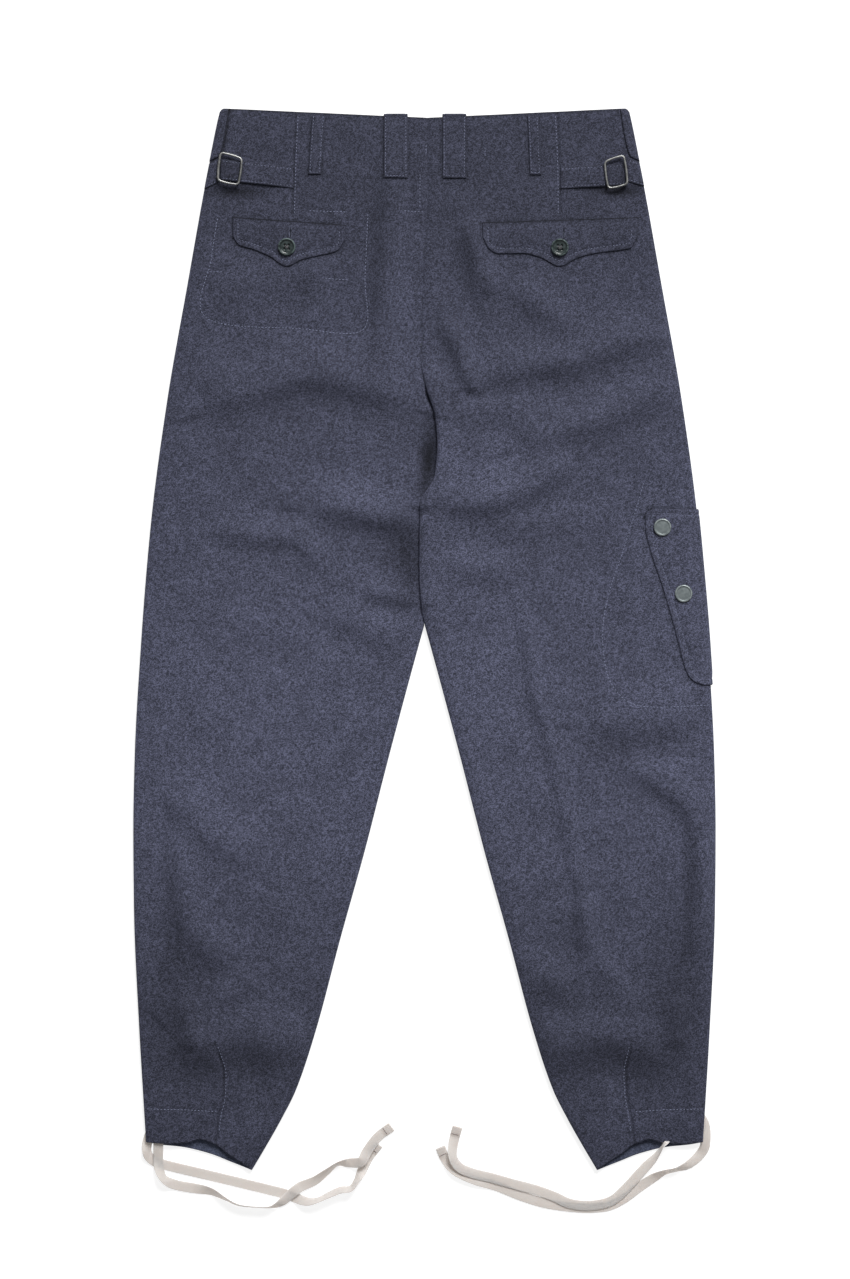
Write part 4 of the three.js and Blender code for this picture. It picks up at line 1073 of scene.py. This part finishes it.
def make_loop(row):
    """A belt loop: a slanted strip from its bottom to its top, with grooves along its stitches. A wide
    one goes on over the waist edge and down behind it. Returns its lines of stitches."""
    name, top_x, bottom_x, bottom_down, width, wide = row
    side = 1 if top_x > 0 else -1
    top = loop_top(top_x, wide)
    long = bottom_down - top
    a, b = np.meshgrid(spread(22, width, 0.9), spread(64, long, 0.9))
    inner = on_panel(side, mix(bottom_x, top_x, b) + (a - 0.5) * width, mix(bottom_down, top, b))
    if wide:
        shares = np.linspace(0.2, 1, 6)[:, None]
        behind = over_edge(inner[-1], (0, 1, 0), 1.6, FRONT_TOP + 2 * GAP, shares, shares)
        inner = np.concatenate([inner, *behind])
    edges = laid_edges(inner)
    inset = np.minimum(edges[2], edges[3])
    groove = 0.3 * bell(inset - LOOP_SEAM, 0.7) + 0.3 * bell(edges[0] - 2.2, 0.8)
    # Painted shading: the painted light falloff, painted shade along the loop's edges and, on a wide
    # one, where it turns over the waist edge.
    painted_shading = wear_and_painted_falloff(y_at(inner[..., 1])) - 0.16 * bell(np.minimum.reduce(edges), 0.9)
    if wide:
        painted_shading = painted_shading - 0.2 * smooth(long - 1.5, long + 0.5, edges[0])
    loop = make_cloth(name + "_cloth", name, laid_shell(inner, LOOP_THICK, edges, groove), WOOL, painted_shading)
    over = LAY + LOOP_THICK - 0.15
    b = np.linspace(0.03, 0.99, 120)
    lines = [on_panel(side, mix(bottom_x, top_x, b) + off, mix(bottom_down, top, b), over)
             for off in (LOOP_SEAM - width / 2, width / 2 - LOOP_SEAM)]
    a = np.linspace(0.12, 0.88, 30)
    return [*lines, on_panel(side, bottom_x + (a - 0.5) * width, bottom_down - 2.2, over)]


def strap_thick(reach):
    """Thickness of a strap or tab at a distance from its start, where it is pressed thin."""
    return STRAP_THICK * (0.4 + 0.6 * smooth(0, 30, reach))


def make_cinch(row):
    """A cinch: its strap from the dart to the buckle, its tab from the side edge, and the wire buckle
    over both. The cloth dips where the wires press on it. Returns its lines of stitches."""
    hand, side, (x1, down1, x2, down2, width), (tab_x, tab_down1, tab_down2, tab_width), corners = row
    corners = np.array(corners)
    ring = np.vstack([corners, corners[:1]])

    def pressed(part, x, down, length):
        """The strap or the tab, with shade painted darker inside the buckle, beside its wires and along
        its edges.
        """
        inner = on_panel(side, x, down)
        edges = laid_edges(inner)
        inset = np.minimum(edges[0], edges[1])
        groove = 0.3 * bell(inset - STRAP_SEAM, 0.8)
        dip = 0.5 * bell(np.abs(x - corners[:, 0].mean()) - 10.2, 1.8)
        shape = laid_shell(inner, strap_thick(edges[2]), edges, groove + dip)
        from_wire, _ = beside(ring, x, down)
        painted_shading = wear_and_painted_falloff(down) - 0.3 * bell(from_wire, 2.2) - 0.12 * smooth(0, 3, -from_wire)
        name = f"cinch_{part}_{hand}"
        cloth = make_cloth(name + "_cloth", name, shape, WOOL, painted_shading - 0.25 * bell(inset, 0.8))

    def on_strap(b, off):
        """A point's x and down, a share along the strap and off its middle, and the strap's start."""
        return mix(x1, x2, b), mix(down1, down2, b) + off, x1

    def on_tab(b, off):
        """The same on the tab, which ends just inside the side edge."""
        down = mix(tab_down1, tab_down2, b) + off
        return mix(tab_x, side * (side_half(down) - 0.2), b), down, tab_x

    b, a = np.meshgrid(spread(60, abs(x2 - x1), 0.9), spread(22, width, 0.9))
    x, down, _ = on_strap(b, (a - 0.5) * width)
    pressed("strap", x, down, abs(x2 - x1))
    b, a = np.meshgrid(spread(24, 22, 0.9), spread(22, tab_width, 0.9))
    x, down, _ = on_tab(b, (a - 0.5) * tab_width)
    pressed("tab", x, down, float(np.mean(side_half(down[:, -1])) - abs(tab_x)))
    make_buckle(hand, corners,
                max(panel_height(side, *corners.T)) + LAY + STRAP_THICK + WIRE / 2 - 0.1)
    lines = []
    for place, wide, b in ((on_strap, width, np.linspace(0.02, 0.97, 150)),
                           (on_tab, tab_width, np.linspace(0.3, 0.95, 30))):
        for off in (STRAP_SEAM - wide / 2, wide / 2 - STRAP_SEAM):
            x, down, start = place(b, off)
            lines.append(on_panel(side, x, down, LAY + strap_thick(np.abs(x - start)) - 0.25))
    return lines


def make_buckle(hand, corners, rest):
    """A wire buckle: a circle carried round four corners, each a quadratic bend, with the long sides
    bowed a little outwards."""
    bend, path = 4.4, []
    for i in range(4):
        before, corner, after = corners[i - 1], corners[i], corners[(i + 1) % 4]
        start, end = (corner + unit(other - corner) * bend for other in (before, after))
        t = np.linspace(0, 1, 13)[:, None]
        path.append((1 - t) ** 2 * start + 2 * t * (1 - t) * corner + t ** 2 * end)
        t = np.linspace(0, 1, 14)[1:-1, None]
        away = unit((corner + after) / 2 - corners.mean(axis=0))
        straight = mix(end, after + unit(corner - after) * bend, t)
        path.append(straight + away * 0.35 * np.sin(math.pi * t))
    path = np.concatenate(path)
    count = len(path)
    centres = np.column_stack([path[:, 0], y_at(path[:, 1]), np.full(count, rest)])
    along = unit(np.roll(centres, -1, 0) - np.roll(centres, 1, 0))
    wide = np.column_stack([-along[:, 1], along[:, 0], np.zeros(count)])
    section = np.column_stack([np.cos(circle(16)), np.sin(circle(16))]) * WIRE / 2
    points = tube(centres, wide, np.tile([0, 0, 1.0], (count, 1)), np.repeat(section[None], count, 0))
    points = points.reshape(-1, 3)
    faces = outward(points, [grid_faces(count + 1, 16, around=True) % len(points)])
    buckle = make_piece(f"buckle_{hand}_wire", points, faces, STEEL, "buckle_wire",
                        uv=np.zeros((len(points), 2)))
    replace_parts(buckle, f"buckle_{hand}")


def make_wrap(side):
    """The strip of front cloth that wraps over the side at the waist: from its slanted inner edge to
    the side edge."""
    b, a = np.meshgrid(spread(26, WRAP_DOWN, 0.8), spread(14, 9, 0.8), indexing="ij")
    down = mix(0.8 + corner_drop((1 - a) * 7), WRAP_DOWN + 4.6 * a, b)
    outer = side_half(down)
    inner = on_panel(side, side * mix(np.minimum(wrap_line(down), outer - 2), outer - 0.05, a), down)
    edges = laid_edges(inner)
    # Painted shading: the painted light falloff, and painted shade along the wrap's inner edge and,
    # less, along its top.
    painted_shading = wear_and_painted_falloff(down) - 0.5 * bell(edges[2], 0.9) - 0.2 * bell(edges[0], 0.9)
    name = f"front_wrap_{HAND[side]}"
    wrap = make_cloth(name + "_cloth", name, laid_shell(inner, THIN_FLAP, edges), WOOL, painted_shading)


def make_thigh_flap():
    """The thigh pocket's flap: from its slanted free edge to the side edge, then over the edge and down
    beside the leg. Returns its lines of stitches."""
    a, b = np.meshgrid(spread(150, THIGH_BOTTOM - THIGH_TOP, 1), spread(40, 48, 1), indexing="ij")
    down = mix(THIGH_TOP, THIGH_BOTTOM, a)
    inner = on_panel(1, mix(thigh_edge(a), side_half(down) + 0.1, b), down)
    outside = over_edge(inner[:, -1:], (1, 0, 0), 0.8, 0.6, np.linspace(0.2, 1, 5),
                        np.linspace(0.15, 1, 7))
    inner = np.concatenate([inner, *outside], axis=1)
    along, down = down[:, 0], y_at(inner[..., 1])
    edges = laid_edges(inner)
    edges[2] = edges[2] / np.sqrt(1 + np.gradient(thigh_edge(a[:, 0]), along) ** 2)[:, None]
    inset = np.minimum.reduce([edges[0] + 1, edges[1], edges[2]])
    groove = 0.35 * bell(inset - THIGH_SEAM, 0.9)
    swell = 0.5 * smooth(7, 14, inset) * (1 - smooth(30, 48, edges[2]))
    dents = sum(0.5 * bell(np.hypot(inner[..., 0] - snap_x, down - snap_down), 11)
                for _, snap_x, snap_down in SNAPS)
    # Painted shading: the painted light falloff, and painted shade along the flap's top, lower end and
    # free edge, most at the top.
    painted_shading = wear_and_painted_falloff(down) - 0.2 * bell(np.minimum.reduce(edges[:3]), 0.9) - 0.25 * bell(edges[0], 0.9)
    shape = laid_shell(inner, THIN_FLAP, edges, groove + dents - swell)
    flap = make_cloth("thigh_flap_cloth", "thigh_flap", shape, WOOL, painted_shading)
    width = float(np.mean(side_half(along) - thigh_edge(a[:, 0]))) + 8
    a = np.linspace(0.04, 0.955, 200)
    x, down = thigh_edge(a) + THIGH_SEAM + 0.2, mix(THIGH_TOP, THIGH_BOTTOM, a)
    over = LAY + THIN_FLAP - 0.05
    lines = [on_panel(1, x, down, over)]
    for end, count in ((0, 60), (-1, 12)):
        across = np.linspace(x[end], side_half(down[end]) - 2, count)
        lines.append(on_panel(1, across, down[end], over))
    return lines


flap_lines, slit_lines = zip(*map(make_flap, FLAPS))
trim_lines = [*flap_lines, *sum(map(make_loop, LOOPS), []), *sum(map(make_cinch, CINCHES), [])]
for side in HAND:
    make_wrap(side)
trim_lines += make_thigh_flap()


# Buttons, snaps and stitches

def make_turned(name, replaced, centre, profile, pits, finish, slot):
    """A round piece: a profile of radius and height turned about its centre. Pits are sunk in its upper
    face, each as deep as e to the power of less the sixth power of distance over size."""
    steps = np.arange(1, 6 * (len(profile) - 1)) / 6
    radius, height = (np.interp(steps, np.arange(len(profile)), column)
                      for column in np.array(profile, float).T)
    turn = circle(64)
    x, y = radius[:, None] * np.cos(turn), radius[:, None] * np.sin(turn)
    z = np.repeat(height[:, None], len(turn), 1)
    upper = np.arange(len(radius)) > int(np.argmax(radius))
    for dx, dy, size, depth in pits:
        z = z - depth * np.exp(-(np.hypot(x - dx, y - dy) / size) ** 6) * upper[:, None]
    ring = points_of(x, y, z).reshape(-1, 3)
    points = np.concatenate([ring, [(0, 0, profile[0][1]), (0, 0, profile[-1][1])]]) + centre
    count, around = len(ring), len(turn)
    first, last = np.arange(around), count - around + np.arange(around)
    caps = [(np.roll(first, -1), first, np.full(around, count)),
            (last, np.roll(last, -1), np.full(around, count + 1))]
    faces = [grid_faces(len(radius), around, around=True), *(np.stack(cap, -1) for cap in caps)]
    share = np.append(np.repeat(radius / radius.max() * upper, around), [0, 0])
    uv = np.column_stack([share, np.zeros(len(points))])
    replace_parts(make_piece(name, points, faces, finish, slot, uv=uv), replaced)


def resting(side, x, down, radius, thick):
    """Height at which a round piece rests on cloth of that thickness over a back panel."""
    turn, out = circle(12), radius * 0.6
    under = panel_height(side, x + out * np.cos(turn), down + out * np.sin(turn))
    return float(under.max()) + LAY + thick - 0.2


def make_fasteners():
    """Four-hole buttons on the pocket flaps and snap caps on the thigh flap. Returns the ends of the
    buttons' threads, a pair side by side each way across the holes."""
    threads = []
    r = BUTTON_DIAMETER / 2
    button = [(0, 0), (r - 1, 0), (r - 0.2, 0.5), (r, 1.3), (r - 0.15, 2.1), (r - 0.8, 2.75),
              (r - 1.5, 2.7), (r - 2.3, 2.1), (r - 3, 1.75), (2.6, 1.85), (0, 1.9)]
    holes = [(dx * 1.85, dy * 1.85, 1.1, 1.7) for dx in (-1, 1) for dy in (-1, 1)]
    for name, side, _, _, _, _, x, down, _ in FLAPS:
        centre = np.array([x, y_at(down), resting(side, x, down, r, FLAP_THICK)])
        made = name.replace("flap", "button")
        make_turned(made + "_turned", made, centre, button, holes, BUTTON, "button")
        for turn in (math.pi / 4, 3 * math.pi / 4):
            along = np.array([math.cos(turn), math.sin(turn), 0])
            for off in (-0.28, 0.28):
                middle = centre + (-along[1] * off, along[0] * off, 1.9)
                threads.append([middle - 2.6 * along, middle + 2.6 * along])
    r = SNAP_DIAMETER / 2
    cap = [(0, 0), (r - 0.7, 0), (r - 0.1, 0.35), (r, 0.9), (r - 0.25, 1.5), (r - 0.9, 1.85),
           (r - 1.6, 1.75), (r - 2.1, 1.4), (r - 2.8, 1.3), (r - 4.5, 1.45), (0, 1.6)]
    for name, x, down in SNAPS:
        centre = np.array([x, y_at(down), resting(1, x, down, r, THIN_FLAP)])
        make_turned(name + "_cap", name, centre, cap, [], SNAP, "snap_cap")
    return np.array(threads)


def sewn_lines():
    """The lines sewn through the back panels and beside their darts, just above their grooves."""
    found = [on_panel(side, *resample(path, 1).T, 0.25) for side, path in SEWN_LINES]
    for side in HAND:
        for start, end, off in ((8, WAIST_DART_END - 4, -2.2), (ANKLE_DART_START + 8, 1026, -2.4)):
            down = np.linspace(start, end, end - start)
            found.append(on_panel(side, side * (dart_half[side](down) + off), down, 0.25))
    return found


def dashes(lines, pitch, length):
    """Starts and ends of the stitches along lines of points, at even lengths."""
    found = []
    for line in lines:
        reach = reach_along(line)
        starts = np.arange(0.3, reach[-1] - length, pitch)
        found.append(np.stack([np.column_stack([np.interp(at, reach, column) for column in line.T])
                               for at in (starts, starts + length)], 1))
    return np.concatenate(found)


def make_stitches(name, ends, finish, slot, thick):
    """Stitches from their two ends, all in one mesh: each a six-sided spindle of four rings, thinner
    and lower at its ends, where it goes into the cloth."""
    start, end = ends[:, 0], ends[:, 1]
    along = unit(end - start)
    across = unit(np.cross(along, [0, 0, 1.0]))
    up, turn = np.cross(across, along), circle(6)[:, None]
    ring = (across[:, None] * np.cos(turn) + up[:, None] * np.sin(turn) * 0.8) * thick / 2
    points = np.stack([(mix(start, end, share) + up * (sink * thick))[:, None] + ring * girth
                       for share, girth, sink in ((0, 0.45, -0.4), (0.22, 1, 0), (0.78, 1, 0),
                                                  (1, 0.45, -0.4))], 1).reshape(-1, 3)
    caps = np.array([np.arange(6)[::-1], 18 + np.arange(6)])
    shift = (np.arange(len(start)) * 24)[:, None, None]
    faces = [(one + shift).reshape(-1, one.shape[1]) for one in (grid_faces(4, 6, around=True), caps)]
    make_piece(name, points, outward(points, faces), finish, slot)


button_threads = make_fasteners()
make_stitches("panel_stitches", dashes(sewn_lines(), 3.4, 1.9), SEWING, "wool", 0.5)
make_stitches("trim_stitches", dashes(trim_lines, 3.2, 1.6), SEWING, "wool", 0.37)
make_stitches("buttonhole_stitches", dashes(sum(slit_lines, []), 0.8, 0.7), SEWING, "wool", 0.5)
make_stitches("button_threads", button_threads, BUTTON_SEWING, "button", 0.34)
make_stitches("tape_stitches", dashes(tape_hems, 1.5, 1.2), TAPE_SEWING, "cotton_tape", 0.6)


# Floor and light

def make_floor():
    """A plain pale floor just under the trousers."""
    material, tree = new_material("floor")
    set_shader(tree, {"Base Color": (0.42, 0.42, 0.42, 1), "Emission Color": (1, 1, 1, 1),
                      "Emission Strength": 0.79, "Roughness": 0.9, "Specular IOR Level": 0.1})
    half, low = 12.0, -0.0002
    mesh = bpy.data.meshes.new("floor")
    mesh.from_pydata([(-half, -half, low), (half, -half, low), (half, half, low), (-half, half, low)],
                     [], [(0, 1, 2, 3)])
    mesh.materials.append(material)
    link("floor", mesh)


def make_light(name, place, size, power):
    """A square lamp turned from its place towards the middle of the trousers."""
    data = bpy.data.lights.new(name, "AREA")
    data.shape, data.size, data.energy = "SQUARE", size, power
    lamp = link(name, data)
    x, y, z = lamp.location = place
    lamp.rotation_euler = (math.atan2(math.hypot(x, y), z), 0, math.atan2(-y, -x) - math.pi / 2)


make_floor()
make_light("key", KEY_PLACE.tolist(), 3.0, 635)
make_light("fill", (-0.8, -1.2, 3.4), 3.0, 10)
world = bpy.data.worlds.new("studio")
world.use_nodes = True
set_inputs(world.node_tree, world.node_tree.nodes["Background"], {0: (1, 1, 1, 1), 1: 0.16})
bpy.context.scene.world = world
bpy.context.scene.view_settings.view_transform = "Standard"
